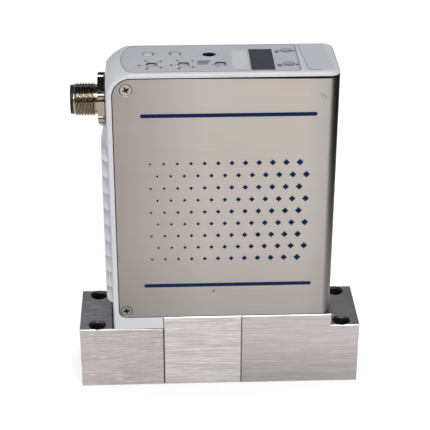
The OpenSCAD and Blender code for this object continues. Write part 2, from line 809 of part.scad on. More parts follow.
// Angle bracket: foot on the deck, upright behind the board, spacers under the board screws
module board_bracket() {
    color([0.7, 0.7, 0.7])
    difference() {
        union() {
            translate([bracket_x - bracket_w / 2, bracket_foot_y, deck_h])
                cube([bracket_w, bracket_y + bracket_t - bracket_foot_y, bracket_t]);
            translate([bracket_x - bracket_w / 2, bracket_y, deck_h])
                cube([bracket_w, bracket_t, board_z[1] - link_down - deck_h]);
            for (s = [-1, 1], z = board_screw_z)
                translate([bracket_x + s * board_screw_dx, bracket_y, z]) rotate([90, 0, 0])
                    cylinder(h = spacer_t, r = 2.4);
        }
        for (p = bracket_screw_places)
            rod_z(p[0], p[1], deck_h - eps, deck_h + bracket_t + eps, deck_screw_d / 2 + 0.15);
        for (s = [-1, 1], z = board_screw_z)
            translate([bracket_x + s * board_screw_dx, bracket_y + bracket_t + eps, z])
                rotate([90, 0, 0]) cylinder(h = bracket_t + spacer_t + 2 * eps, r = 1.1);
        translate([bracket_x - 0.27 * bracket_w, bracket_y - eps, board_z[0] + 0.2 * board_h])
            cube([0.54 * bracket_w, bracket_t + 2 * eps, board_h / 2]);
    }
}

module main_board() {
    color([0.1, 0.4, 0.2])
    difference() {
        translate([board_x[0], board_y, board_z[0]])
            cube([board_l, board_t, board_h]);
        for (s = [-1, 1], z = board_screw_z)
            translate([bracket_x + s * board_screw_dx, board_y + board_t + eps, z])
                rotate([90, 0, 0]) cylinder(h = board_t + 2 * eps, r = 1.1);
    }
}

// Chips on the front of the main board, and a lamp chip under each lens.
// Each chip is given by shares of the board's length and height: [place along, place up, width, height]
chips = [[0.2, 0.65, 0.18, 0.18], [0.46, 0.68, 0.13, 0.1], [0.74, 0.62, 0.15, 0.15], [0.57, 0.24, 0.15, 0.13],
    [0.18, 0.32, 0.1, 0.07], [0.92, 0.5, 0.07, 0.12]];
chip_t = 1.4;

module board_chips() {
    color([0.12, 0.12, 0.13])
    for (c = chips)
        translate([board_x[0] + (c[0] - c[2] / 2) * board_l, board_y - chip_t,
            board_z[0] + (c[1] - c[3] / 2) * board_h])
            cube([c[2] * board_l, chip_t, c[3] * board_h]);
    color([0.9, 0.9, 0.8])
    for (p = lamp_places)
        translate([p[0] - 0.8, p[1] - 0.4, top_board_top]) cube([1.6, 0.8, lamp_chip_h]);
}

// Small screws: four through the main board and four up into the posts of the housing
module board_screws() {
    color([0.6, 0.6, 0.6]) {
        for (s = [-1, 1], z = board_screw_z)
            translate([bracket_x + s * board_screw_dx, board_y, z]) rotate([90, 0, 0])
                socket_screw(2, board_t + spacer_t + bracket_t, 3.6, 1.3);
        for (p = post_places)
            translate([p[0], p[1], top_board_z]) rotate([180, 0, 0]) socket_screw(2, post_screw_l, 3.4, 1.3);
    }
}

// Header that joins the top edge of the main board to the underside of the top board
module board_link() {
    color([0.14, 0.14, 0.15])
    translate([link_x - link_w / 2, board_y - link_d, board_z[1] - link_down])
        cube([link_w, link_d, top_board_z - board_z[1] + link_down]);
}

// Flexible strips, each a bent band of one thickness
strip_t = 0.3;
module strip(path) {
    n = len(path);
    for (i = [0 : n - 2]) {
        d = path[i + 1] - path[i];
        l = norm(d);
        translate([path[i][0], path[i][1]]) rotate([0, 0, atan2(d[1], d[0])])
            translate([-strip_t / 2, -strip_t / 2]) square([l + strip_t, strip_t]);
    }
}

module sensor_strip() {
    z = sensor_top + strip_t / 2;
    y = board_y - strip_t / 2;
    color([0.75, 0.5, 0.15])
    along_x(sensor_x - 4, sensor_x + 4)
        strip([[-3, z], [y, z], [y, z + 8]]);
}

module coil_strip() {
    z = cap_top + strip_t / 2;
    y = board_y - strip_t / 2;
    color([0.75, 0.5, 0.15])
    along_x(valve_x - 2.5, valve_x + 2.5)
        strip([[5, z], [y, z], [y, z + 7]]);
}

module connector_strip() {
    x = conn_board_x + board_t + strip_t / 2;
    y = board_y - strip_t / 2;
    color([0.75, 0.5, 0.15])
    translate([0, 0, conn_z - 4]) linear_extrude(8)
        strip([[x, -3], [x, y], [board_x[0] + 0.13 * board_l, y]]);
}

module top_board() {
    color([0.1, 0.4, 0.2])
    difference() {
        translate([top_board_x[0], -top_board_half, top_board_z])
            cube([top_board_x[1] - top_board_x[0], 2 * top_board_half, board_t]);
        rod_z(jack_place[0], jack_place[1], top_board_z - eps, top_board_top + eps, jack_body_r + 0.1);
        for (p = post_places)
            rod_z(p[0], p[1], top_board_z - eps, top_board_top + eps, 1.1);
    }
}

// Square bodies of the dial switches, each with the bore that its dial turns in
module dial_switches() {
    color([0.13, 0.13, 0.14])
    for (p = dial_places)
        difference() {
            translate([p[0], p[1], top_board_top]) linear_extrude(switch_h)
                plate_2d([dial_switch_w, 7], 0.4);
            rod_z(p[0], p[1], dial_top - dial_l - 0.2, top_board_top + switch_h + eps,
                dial_d / 2 + shaft_fit);
        }
}

module button_switches() {
    color([0.13, 0.13, 0.14])
    for (p = button_places)
        difference() {
            translate([p[0], p[1], top_board_top]) linear_extrude(button_body_h)
                plate_2d([5, 5], 0.4);
            rod_z(p[0], p[1], top_board_top + 0.3, top_board_top + button_body_h + eps,
                stem_d / 2 + shaft_fit);
        }
}

// Dial with its screwdriver slot and pointer notch
module dial(p) {
    color([0.8, 0.8, 0.82])
    difference() {
        rod_z(p[0], p[1], dial_top - dial_l, dial_top, dial_d / 2);
        translate([p[0] - 0.3, p[1] - dial_d * 0.36, dial_top - 0.6]) cube([0.6, dial_d * 0.72, 1]);
        translate([p[0], p[1] + dial_d * 0.2, dial_top - 0.4]) cylinder(h = 1, r = dial_d * 0.19, $fn = 3);
    }
}

module dial_high() {
    dial(dial_places[0]);
}

module dial_low() {
    dial(dial_places[1]);
}

module dial_rate() {
    dial(dial_places[2]);
}

// Button cap with a dished top, on the stem that slides in its switch
module button(p) {
    cap_z = button_top - button_cap_h;
    dish_r = 6;
    color([0.72, 0.73, 0.76])
    difference() {
        union() {
            rod_z(p[0], p[1], cap_z, button_top, button_d / 2);
            rod_z(p[0], p[1], top_board_top + 0.3 + button_travel + 0.2, cap_z + 0.01, stem_d / 2);
        }
        translate([p[0], p[1], button_top + dish_r - 0.2]) sphere(dish_r);
    }
}

module button_back() {
    button(button_places[0]);
}

module button_front() {
    button(button_places[1]);
}

// Light pipes that end in the lenses on the top face
module lamp_lenses() {
    z0 = top_board_top + lamp_chip_h;
    color([0.85, 0.75, 0.55])
    for (p = lamp_places) {
        rod_z(p[0], p[1], z0, total_h - 0.05, lens_d / 2 - 0.05);
        rod_z(p[0], p[1], z0, inner_top - 0.05, lens_d / 2 + 0.5);
    }
}

// Jack body through the top board, with the collar that shows in the top face
module diagnostic_jack() {
    x = jack_place[0];
    y = jack_place[1];
    color([0.08, 0.08, 0.09])
    difference() {
        union() {
            rod_z(x, y, top_board_z - jack_body_l, inner_top - 0.1, jack_body_r);
            rod_z(x, y, inner_top - 0.2, total_h - 0.6, jack_outer_d / 2);
        }
        rod_z(x, y, top_board_z - jack_body_l + 1, total_h, jack_d / 2);
    }
}

module display_module() {
    color([0.1, 0.1, 0.12])
    translate([window_place[0], window_place[1], top_board_top])
        linear_extrude(total_h - window_t - top_board_top) plate_2d([window_w - 0.6, window_d - 0.6], 0.3);
}

module display_window() {
    color([0.22, 0.23, 0.24])
    translate([window_place[0], window_place[1], total_h - window_t])
        linear_extrude(window_t) plate_2d([window_w, window_d], 0.3);
}

// Outline of the overlay: a wide arc at its left end, eased into the straight edges
module overlay_2d(grow) {
    x0 = rim_x + overlay_in;
    ease_r = 3;
    half = overlay_d / 2;
    ease_x = x0 + overlay_r - sqrt(pow(overlay_r - ease_r, 2) - pow(half - ease_r, 2));
    swing = asin((half - ease_r) / (overlay_r - ease_r));
    reach = overlay_r * 1.5;
    for (s = [-1, 1])
        translate([ease_x, s * (half - ease_r)]) circle(ease_r + grow);
    translate([(ease_x + x0 + overlay_l) / 2, 0])
        square([x0 + overlay_l - ease_x - 3, 2 * (half + grow)], center = true);
    translate([ease_x, -half - grow]) square([3, 2 * (half + grow)]);
    translate([x0 + 5 * overlay_l / 6, 0])
        plate_2d([overlay_l / 3 + 2 * grow, 2 * (half + grow)], 1.5);
    intersection() {
        translate([x0 + overlay_r, 0]) circle(overlay_r + grow, $fn = 128);
        translate([x0 + overlay_r, 0])
            polygon([[0, 0], [-reach * cos(swing), reach * sin(swing)],
                [-reach * cos(swing), -reach * sin(swing)]]);
    }
}

// Openings in the top face: dials, buttons, lenses, jack and display window
module control_holes_2d() {
    for (p = dial_places) translate(p) circle(dial_d / 2 + hole_gap);
    for (p = button_places) translate(p) circle(button_d / 2 + hole_gap);
    for (p = lamp_places) translate(p) circle(lens_d / 2);
    translate(jack_place) circle(jack_outer_d / 2 + 0.15);
    translate(window_place) plate_2d([window_w + 0.1, window_d + 0.1], 0.35);
}

module overlay() {
    color([0.73, 0.74, 0.78])
    translate([0, 0, total_h - overlay_t]) linear_extrude(overlay_t)
        difference() {
            overlay_2d(0);
            control_holes_2d();
        }
}

module tape_strip() {
    color([0.92, 0.92, 0.92])
    translate([tape_place[0], tape_place[1], total_h]) linear_extrude(label_t) plate_2d(tape_size, 0.3);
}

module data_label() {
    color([0.8, 0.81, 0.84])
    translate([label_place[0], label_place[1], total_h]) rotate([0, 0, label_turn])
        linear_extrude(label_t) plate_2d(label_size, 1.2);
}

// Hexagon along X with a point up, its outer face turned to a chamfer
module hex_x(x0, x1, flats) {
    corner = flats / sqrt(3);
    ease = corner - flats / 2;
    intersection() {
        translate([x0, 0, conn_z]) rotate([0, 90, 0]) cylinder(h = x1 - x0, r = corner, $fn = 6);
        union() {
            translate([x0, 0, conn_z]) rotate([0, 90, 0])
                cylinder(h = ease * 0.6, r1 = flats / 2, r2 = corner + 0.01);
            rod_x(x0 + ease * 0.6 - 0.01, x1, corner + 0.01, 0, conn_z);
        }
    }
}

module connector_shell() {
    color([0.62, 0.56, 0.46])
    difference() {
        union() {
            rod_x(barrel_x, hex_x + 0.01, thread_d / 2, 0, conn_z);
            hex_x(hex_x, flat_x - gasket_t, hex_af);
            rod_x(flat_x - gasket_t - 0.01, rear_x, thread_d / 2, 0, conn_z);
        }
        rod_x(barrel_x - eps, rear_x + eps, insert_d / 2 + 0.04, 0, conn_z);
    }
}

// Black insert: a deep socket in front with its key, and holes for the pins behind
module connector_insert() {
    socket_r = insert_d / 2 - 0.8;
    color([0.07, 0.07, 0.07]) {
        difference() {
            rod_x(tip_x, insert_rear_x, insert_d / 2, 0, conn_z);
            rod_x(tip_x - eps, floor_x, socket_r, 0, conn_z);
            for (p = pin_places)
                rod_x(floor_x - eps, insert_rear_x + eps, pin_d / 2 + 0.02, p[0], conn_z + p[1], $fn = 24);
        }
        translate([tip_x + 0.8, -0.6, conn_z + socket_r - 0.7]) cube([floor_x - tip_x - 0.8, 1.2, 1]);
    }
}

// One pin in the middle and four round it, as [y, z] from the axis
pin_places = concat([[0, 0]], [for (i = [0 : 3])
    [pin_circle_d / 2 * cos(45 + 90 * i), pin_circle_d / 2 * sin(45 + 90 * i)]]);

module connector_pins() {
    color([0.85, 0.7, 0.35])
    for (p = pin_places) {
        x0 = tip_x + 1.4;
        rod_x(x0 + 0.4, conn_board_x + board_t, pin_d / 2, p[0], conn_z + p[1], $fn = 24);
        translate([x0, p[0], conn_z + p[1]]) rotate([0, 90, 0])
            cylinder(h = 0.4, r1 = pin_d / 4, r2 = pin_d / 2, $fn = 24);
    }
}

module connector_gasket() {
    color([0.1, 0.1, 0.1])
    difference() {
        rod_x(flat_x - gasket_t, flat_x, hex_af / 2 - 0.5, 0, conn_z);
        rod_x(flat_x - 1, flat_x + 1, thread_d / 2 + 0.05, 0, conn_z);
    }
}

module connector_nut() {
    color([0.65, 0.62, 0.55])
    difference() {
        hex_x(flat_in_x, flat_in_x + nut_t, nut_af);
        rod_x(flat_in_x - eps, flat_in_x + nut_t + eps, thread_d / 2 + 0.02, 0, conn_z);
    }
}

// Round board on the back of the connector's pins
module connector_board() {
    color([0.1, 0.4, 0.2])
    difference() {
        rod_x(conn_board_x, conn_board_x + board_t, insert_d / 2 + 1.4, 0, conn_z);
        for (p = pin_places)
            rod_x(conn_board_x - eps, conn_board_x + board_t + eps, pin_d / 2 + tap, p[0], conn_z + p[1],
                $fn = 24);
    }
}

// Outer form of the housing down to one height: bulged end, straight run and round outlet end
module housing_form(z0) {
    intersection() {
        along_x(grip_x - 1, arc_x) arch_2d(half_d, z0, total_h, edge_r);
        translate([arc_x, 0, 0]) rotate_extrude($fn = 180)
            shoulder_2d(arc_r, z0, total_h, corner_r);
    }
    along_x(arc_x - 0.01, side_x - bend_r) arch_2d(half_d, z0, total_h, edge_r);
    for (s = [-1, 1])
        translate([side_x - bend_r, s * (half_d - bend_r), 0]) rotate_extrude()
            shoulder_2d(bend_r, z0, total_h, edge_r);
    along_y(-(half_d - bend_r), half_d - bend_r)
        translate([side_x - bend_r - 0.01, 0]) shoulder_2d(bend_r + 0.01, z0, total_h, edge_r);
}

// Hollow of the housing, with the deeper hollow behind the grip
module housing_hollow() {
    inner_half = half_d - wall;
    inner_r = corner_r - wall;
    x0 = flat_x + wall;
    x1 = side_x - wall;
    z0 = low_h + foot_t;
    along_y(-inner_half, inner_half) {
        translate([x0, z0]) square([x1 - x0, inner_top - inner_r - z0]);
        translate([x0 + inner_r, z0]) square([x1 - x0 - inner_r, inner_top - z0]);
        translate([x0 + inner_r, inner_top - inner_r]) circle(inner_r);
    }
    z1 = grip_z + grip_end_r + wall;
    translate([grip_x + wall + grip_bow, -grip_y, z1])
        cube([flat_x - grip_x, 2 * grip_y, grip_top - ramp_h - wall - z1]);
}

// Sheet outline from the front, with its two round corners at the left
module sheet_outline(grow) {
    x0 = cover_x - grow;
    z0 = enclosure_z - grow;
    z1 = cover_top + grow;
    r1 = cover_corner_r + grow;
    r0 = low_corner_r + grow;
    translate([x0 + r1, z0]) square([side_x + 5 - x0 - r1, z1 - z0]);
    translate([x0, z0 + r0]) square([r1 + 0.01, z1 - r1 - z0 - r0]);
    translate([x0 + r0, z0]) square([r1 - r0 + 0.01, r0 + 0.01]);
    translate([x0 + r1, z1 - r1]) circle(r1);
    translate([x0 + r0, z0 + r0]) circle(r0);
}

// Sheet folded round the outlet end: outer plan less inner plan, cut to its outline
module sheet(grow, outer, edge = 0) {
    intersection() {
        translate([0, 0, enclosure_z - 1]) linear_extrude(cover_top - enclosure_z + 2)
            difference() {
                plan_2d(cover_x - 1, side_x + outer, half_d + outer, bend_r + outer);
                plan_2d(cover_x - 2, side_x - sheet_t - grow, half_d - sheet_t - grow,
                    bend_r - sheet_t - grow);
            }
        along_y(-half_d - 1, half_d + 1) sheet_outline(edge);
    }
}

// Places things drawn along Z at each cover screw, pointing inwards from the front and the back
module at_screws(inset) {
    for (p = screw_places, s = [-1, 1])
        translate([p[0], s * (half_d - inset), p[1]]) rotate([s * 90, 0, 0]) children();
}

module cover() {
    color([0.68, 0.65, 0.61])
    difference() {
        sheet(0, 0);
        at_screws(-0.01)
            cylinder(h = sheet_t + 0.02, r1 = head_d / 2 + 0.07, r2 = head_d / 2 + 0.05 - sheet_t);
    }
}

// Countersunk screws with cross recesses, two in front and two behind
module cover_screws() {
    color([0.66, 0.65, 0.63])
    at_screws(0)
        difference() {
            union() {
                cylinder(h = sheet_t, r1 = head_d / 2, r2 = head_d / 2 - sheet_t);
                cylinder(h = screw_l, r = shank_d / 2);
            }
            for (a = [30, 120])
                rotate([0, 0, a]) translate([-head_d * 0.28, -0.3, -eps]) cube([head_d * 0.56, 0.6, eps + 0.7]);
        }
}

module screw_inserts() {
    color([0.8, 0.65, 0.3])
    at_screws(sheet_t + fit + 0.1)
        difference() {
            cylinder(h = insert_l, r = insert_r);
            translate([0, 0, -eps]) cylinder(h = insert_l + 2 * eps, r = shank_d / 2 + tap);
        }
}

// Printed bars and a staggered field of diamonds that grow from left to right
module front_print() {
    x = rim_x + 0.524 * top_l;
    cell = cell_share * top_l;
    bar_l = bar_share * top_l;
    bar_gap = bar_gap_share * (cover_top - enclosure_z);
    bar_z = cover_top - 0.204 * bar_gap;
    field_z = bar_z - bar_gap * 0.55;
    color([0.08, 0.12, 0.35])
    along_y(-half_d - ink_t, -half_d) {
        for (i = [0, 1])
            translate([x, bar_z - i * bar_gap]) plate_2d([bar_l, bar_w], bar_w / 2 - 0.001);
        for (i = [0 : cols - 1], j = [0 : rows - 1])
            translate([x + (i - (cols - 1) / 2 + (j % 2 - 0.5) / 2) * cell,
                field_z + (j - (rows - 1) / 2) * cell])
                rotate(45) square((diamond_min + (diamond_max - diamond_min) * i / (cols - 1)) / sqrt(2),
                    center = true);
    }
}

// Plan of the grip: bowed across, with a round corner at each side
module grip_2d() {
    reach = flat_x + wall - 0.2;
    edge_y = grip_r * grip_y / (grip_r - grip_corner_r);
    for (s = [-1, 1])
        translate([grip_corner_x, s * grip_y]) circle(grip_corner_r);
    translate([grip_corner_x, -grip_half]) square([reach - grip_corner_x, 2 * grip_half]);
    intersection() {
        translate([grip_x + grip_r, 0]) circle(grip_r, $fn = 256);
        translate([grip_x - 1, -edge_y]) square([reach - grip_x + 1, 2 * edge_y]);
    }
}

// Scallops up both corners of the grip: level cylinders that sink in across the corner
module scallop_cuts() {
    out = grip_corner_r + scallop_r - scallop_in;
    run = (flat_x - grip_corner_x + grip_corner_r * cos(scallop_turn)) / sin(scallop_turn) - 0.1;
    for (s = [-1, 1], i = [0 : scallops - 1])
        translate([grip_corner_x - out * cos(scallop_turn), s * (grip_y + out * sin(scallop_turn)),
            grip_z + scallop_first + scallop_pitch * i])
            rotate([0, 0, s * (90 - scallop_turn)])
                rod_x(-grip_corner_r - 1, run, scallop_r);
}

// Cuts that give the grip its ramp above and its round end below
module grip_cuts() {
    far = grip_x - 5;
    slope = ramp_h / (flat_x - grip_x);
    along_y(-body_d, body_d) {
        polygon([[flat_x, grip_top], [flat_x, total_h + 5], [far, total_h + 5],
            [far, grip_top - slope * (flat_x - far)]]);
        difference() {
            translate([far, low_h - 1]) square([flat_x - far, grip_z + grip_end_r - low_h + 1]);
            translate([grip_x + grip_end_r, grip_z + grip_end_r]) circle(grip_end_r);
            translate([grip_x + grip_end_r, grip_z]) square([10, grip_end_r + 1]);
        }
    }
}

// Openings behind the sheet in front, behind and at the outlet end, which leave a ledge round it
module sheet_windows() {
    along_y(-body_d, body_d) {
        translate([cover_x + ledge, enclosure_z + ledge])
            square([body_l, cover_top - enclosure_z - 2 * ledge]);
        translate([foot_end, low_h - 1]) square([body_l, enclosure_z + ledge + 1.01 - low_h]);
    }
}

// Outside of the housing: the form cut back to its flat face, and the grip that stands out from it
module housing_outside() {
    difference() {
        housing_form(low_h);
        translate([grip_x - 5, -body_d, low_h - 1])
            cube([flat_x - grip_x + 5, 2 * body_d, total_h - low_h + 5]);
    }
    difference() {
        translate([0, 0, grip_z - 0.01]) linear_extrude(grip_top - grip_z + 0.02) grip_2d();
        grip_cuts();
        scallop_cuts();
    }
}

module housing() {
    color([0.88, 0.88, 0.9])
    difference() {
        union() {
            difference() {
                housing_outside();
                housing_hollow();
                sheet_windows();
            }
            for (p = post_places) rod_z(p[0], p[1], top_board_top, inner_top + 0.01, post_d / 2);
            at_screws(sheet_t) cylinder(h = screw_l + 0.3 - sheet_t, r = boss_d / 2);
        }
        sheet(fit, 1, rim_gap);
        at_screws(sheet_t) cylinder(h = insert_l + fit + 0.2, r = insert_r + tap);
        at_screws(sheet_t) cylinder(h = screw_l + 1, r = shank_d / 2 + 0.1);
        for (p = post_places) rod_z(p[0], p[1], top_board_top - eps, top_board_z + post_screw_l + 0.3, 1 + tap);
        rod_x(flat_x - eps, flat_in_x + eps, thread_d / 2 + 0.1, 0, conn_z);
        rod_x(flat_in_x, flat_in_x + nut_t + 1, nut_af / sqrt(3) + 0.2, 0, conn_z);
        for (s = [-1, 1])
            rod_z(foot_screw_x, s * foot_screw_y, low_h - eps, low_h + foot_t + eps, foot_screw_d / 2 + 0.15);
        translate([0, 0, total_h - overlay_t]) linear_extrude(1) overlay_2d(0.06);
        translate([0, 0, inner_top - eps]) linear_extrude(wall + 1) control_holes_2d();
    }
}

module foot_screws() {
    color([0.6, 0.6, 0.6])
    for (s = [-1, 1])
        translate([foot_screw_x, s * foot_screw_y, low_h + foot_t])
            socket_screw(foot_screw_d, foot_t + foot_screw_in, 4.5, 2.2);
}

inlet_block();
center_block();
outlet_block();
body_screws();
body_seal();
flow_element();
sensor_base();
sensor_seals();
sensor_tube();
sensor_windings();
sensor_can();
valve_seat();
valve_plunger();
plunger_disc();
valve_spring();
guide_tube();
valve_seal();
clamp_plate();
valve_core();
valve_coil();
valve_yoke();
yoke_cap();
valve_nut();
deck_screws();
board_bracket();
main_board();
board_chips();
board_screws();
board_link();
sensor_strip();
coil_strip();
connector_strip();
top_board();
dial_switches();
button_switches();
dial_high();
dial_low();
dial_rate();
button_back();
button_front();
lamp_lenses();
diagnostic_jack();
display_module();
display_window();
overlay();
tape_strip();
data_label();
connector_shell();
connector_insert();
connector_pins();
connector_gasket();
connector_nut();
connector_board();
housing();
foot_screws();
cover();
cover_screws();
screw_inserts();
front_print();
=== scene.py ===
import json
import math

import bmesh
import bpy
import numpy as np
from mathutils import Matrix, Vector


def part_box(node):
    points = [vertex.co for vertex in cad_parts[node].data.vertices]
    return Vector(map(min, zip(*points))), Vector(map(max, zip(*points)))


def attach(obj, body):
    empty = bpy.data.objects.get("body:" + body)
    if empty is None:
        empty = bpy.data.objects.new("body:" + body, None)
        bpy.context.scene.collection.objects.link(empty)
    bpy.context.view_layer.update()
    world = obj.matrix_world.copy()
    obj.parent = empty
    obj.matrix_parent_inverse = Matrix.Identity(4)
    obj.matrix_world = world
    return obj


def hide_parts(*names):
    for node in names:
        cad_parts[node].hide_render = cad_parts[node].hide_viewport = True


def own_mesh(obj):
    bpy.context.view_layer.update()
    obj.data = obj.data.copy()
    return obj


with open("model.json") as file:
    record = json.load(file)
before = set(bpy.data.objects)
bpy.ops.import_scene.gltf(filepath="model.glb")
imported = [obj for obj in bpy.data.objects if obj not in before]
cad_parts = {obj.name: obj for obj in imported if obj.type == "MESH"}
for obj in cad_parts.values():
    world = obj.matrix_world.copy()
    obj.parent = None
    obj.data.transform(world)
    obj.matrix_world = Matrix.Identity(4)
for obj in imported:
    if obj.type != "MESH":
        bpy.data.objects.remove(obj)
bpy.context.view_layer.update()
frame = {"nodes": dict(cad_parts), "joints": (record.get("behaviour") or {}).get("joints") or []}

nodes = frame["nodes"]
scene = bpy.context.scene
mm = 0.001
print("frame loaded:", len(nodes), "nodes")

# Camera, fitted to the photograph
photoCamera = dict(
    place=(-0.02000, -0.44599, 0.29982),
    forward=(0.03689, 0.88448, -0.46512),
    right=(0.99917, -0.04068, 0.00189),
    down=(-0.01725, -0.46480, -0.88525),
    focalPixels=1361.58,
    framePixels=430,
    sensorWidth=36,
    clipStart=0.01,
)


def addCamera(look):
    # columns of the camera's matrix: right, up, backwards, place
    lens = bpy.data.cameras.new("photoCamera")
    lens.sensor_width = look["sensorWidth"]
    lens.lens = look["focalPixels"] / look["framePixels"] * look["sensorWidth"]
    lens.clip_start = look["clipStart"]
    camera = bpy.data.objects.new("photoCamera", lens)
    turn = Matrix.Identity(4)
    for row in range(3):
        turn[row][0] = look["right"][row]
        turn[row][1] = -look["down"][row]
        turn[row][2] = -look["forward"][row]
        turn[row][3] = look["place"][row]
    camera.matrix_world = turn
    scene.collection.objects.link(camera)
    scene.camera = camera


addCamera(photoCamera)
print("camera placed")

# Studio: pale floor, dim room, soft boxes
studio = dict(
    roomColour=(0.90, 0.94, 1.0),
    roomStrength=0.14,
    floorColour=(0.74, 0.74, 0.74),
    floorGlow=0.42,
    floorSize=12.0,
    # tone of the faint clouds in the floor's paper, and strength of its grain
    floorCloud=0.985,
    paperGrain=0.02,
    # a dimmer floor that only lights the object from below
    bounceColour=(0.50, 0.50, 0.51),
    bounceGlow=0.26,
    boxes=[
        # name, place, aimed at, width, height, power, colour
        ("stripBox", (-0.12, -0.58, 0.80), (-0.04, 0, 0.11), 0.62, 0.36, 7.0, (1.0, 0.99, 0.97)),
        ("keyBox", (0.50, -1.00, 0.80), (0, 0, 0.06), 0.40, 0.5, 8.7, (1.0, 0.975, 0.94)),
        ("leftBox", (-1.10, -0.45, 0.75), (0, 0, 0.06), 0.5, 0.5, 4.6, (0.95, 0.97, 1.0)),
        ("backBox", (-1.10, 0.55, 0.80), (0, 0, 0.05), 0.6, 0.6, 1.3, (0.92, 0.96, 1.0)),
        ("overBox", (0.0, 0.30, 1.25), (0, 0.10, 0.0), 0.7, 0.5, 5.6, (1.0, 1.0, 1.0)),
        ("rearBox", (0.0, 1.00, 0.92), (0, 0, 0.03), 1.6, 0.30, 1.8, (0.84, 0.91, 1.0)),
        ("frontBox", (0.10, -1.30, 0.25), (0, 0, 0.05), 1.0, 0.35, 4.2, (1.0, 1.0, 1.0)),
    ],
    unmirrored=["overBox", "frontBox"],
    mirroredOnly=["stripBox"],
    # dark cards seen in reflections alone, each by its four corners
    cards=dict(
        sideCard=[(0.13, -0.32, 0.001), (0.13, 0.45, 0.001), (0.13, 0.45, 0.60), (0.13, -0.32, 0.60)],
        overCard=[(-0.7, -0.22, 0.9), (0.7, -0.22, 0.9), (0.7, 0.75, 0.9), (-0.7, 0.75, 0.9)],
    ),
    cardColour=(0.02, 0.02, 0.02),
    # roughness and grain of the floors and of the cards
    floorPaper=((0.70, 0.85), 400),
    cardPaper=((0.80, 0.90), 300),
)


def aimedAt(place, target):
    # a light shines along its own -Z, so +Z points from the target back to the light
    back = np.array(place, float) - np.array(target, float)
    back /= np.linalg.norm(back)
    side = np.cross((0, 0, 1), back)
    side /= np.linalg.norm(side)
    up = np.cross(back, side)
    turn = Matrix.Identity(4)
    for row in range(3):
        turn[row][0], turn[row][1], turn[row][2] = side[row], up[row], back[row]
        turn[row][3] = place[row]
    return turn


def addSheet(name, corners):
    sheet = bpy.data.meshes.new(name)
    sheet.from_pydata(corners, [], [(0, 1, 2, 3)])
    stand = bpy.data.objects.new(name, sheet)
    scene.collection.objects.link(stand)
    stand.visible_shadow = False
    return stand


def buildStudio(look):
    world = bpy.data.worlds.new("dimRoom")
    world.use_nodes = True
    room = world.node_tree.nodes["Background"]
    room.inputs["Color"].default_value = (*look["roomColour"], 1)
    room.inputs["Strength"].default_value = look["roomStrength"]
    scene.world = world
    for name, place, target, width, height, power, colour in look["boxes"]:
        lamp = bpy.data.lights.new(name, "AREA")
        lamp.shape = "RECTANGLE"
        lamp.size, lamp.size_y = width, height
        lamp.energy = power
        lamp.color = colour
        box = bpy.data.objects.new(name, lamp)
        box.matrix_world = aimedAt(place, target)
        box.visible_glossy = name not in look["unmirrored"]
        box.visible_diffuse = name not in look["mirroredOnly"]
        scene.collection.objects.link(box)
    half = look["floorSize"] / 2
    corners = [(-half, -half, 0), (half, -half, 0), (half, half, 0), (-half, half, 0)]
    # the first floor is what the camera and the mirrors see, the second what the dull surfaces see
    floors = [addSheet("floor", corners), addSheet("bounceFloor", corners)]
    floors[0].visible_diffuse = False
    floors[1].visible_camera = floors[1].visible_glossy = floors[1].visible_transmission = False
    cards = [addSheet(name, corners) for name, corners in look["cards"].items()]
    for card in cards:
        card.visible_camera = card.visible_diffuse = False
    scene.view_settings.view_transform = "Standard"
    return floors, cards


floors, cards = buildStudio(studio)
print("studio lit")


# Materials. Each one reads Object coordinates, in metres, so a scale of 1000 is one grain per millimetre.
# A noise is given by its detail and roughness, and by a shift where two of one scale would fall together
grainLook = dict(
    lines=(5, 0.68),
    bands=(3, 0.55, (0.3, 0.1, 0.7)),
    peaks=(3, 0.6, (0.9, 0.4, 0.2)),
    peakScale=1.6,
    peakRange=(0.57, 0.66),
    stain=(3, 0.5),
    stainRange=(0.35, 0.65),
    cloud=(4, 0.6),
    cloudScale=60,
    pores=(2, 0.5),
    middle=(0.3, 0.7),
    drawnTurn=0.25,
    # in metres
    reliefDepth=0.00002,
)
white, none = (1, 1, 1), (0, 0, 0)


def newFinish(name):
    finish = bpy.data.materials.new(name)
    finish.use_nodes = True
    shader = finish.node_tree.nodes["Principled BSDF"]
    return finish, finish.node_tree, shader


def stretched(tree, scale, shift):
    place = tree.nodes.new("ShaderNodeTexCoord")
    stretch = tree.nodes.new("ShaderNodeMapping")
    stretch.inputs["Scale"].default_value = scale
    stretch.inputs["Location"].default_value = shift
    tree.links.new(place.outputs["Object"], stretch.inputs["Vector"])
    return stretch.outputs["Vector"]


def objectAxes(tree):
    place = tree.nodes.new("ShaderNodeTexCoord")
    split = tree.nodes.new("ShaderNodeSeparateXYZ")
    tree.links.new(place.outputs["Object"], split.inputs["Vector"])
    return split.outputs


def grain(tree, scale, detail, rough, shift=(0, 0, 0)):
    pattern = tree.nodes.new("ShaderNodeTexNoise")
    pattern.inputs["Scale"].default_value = 1
    pattern.inputs["Detail"].default_value = detail
    pattern.inputs["Roughness"].default_value = rough
    tree.links.new(stretched(tree, scale, shift), pattern.inputs["Vector"])
    return pattern.outputs["Fac"]


def ramp(tree, value, stops):
    # stops are two pairs of a position and a colour
    band = tree.nodes.new("ShaderNodeValToRGB")
    for mark, (position, colour) in zip(band.color_ramp.elements, stops):
        mark.position = position
        mark.color = (*colour, 1)
    tree.links.new(value, band.inputs["Fac"])
    return band.outputs["Color"]


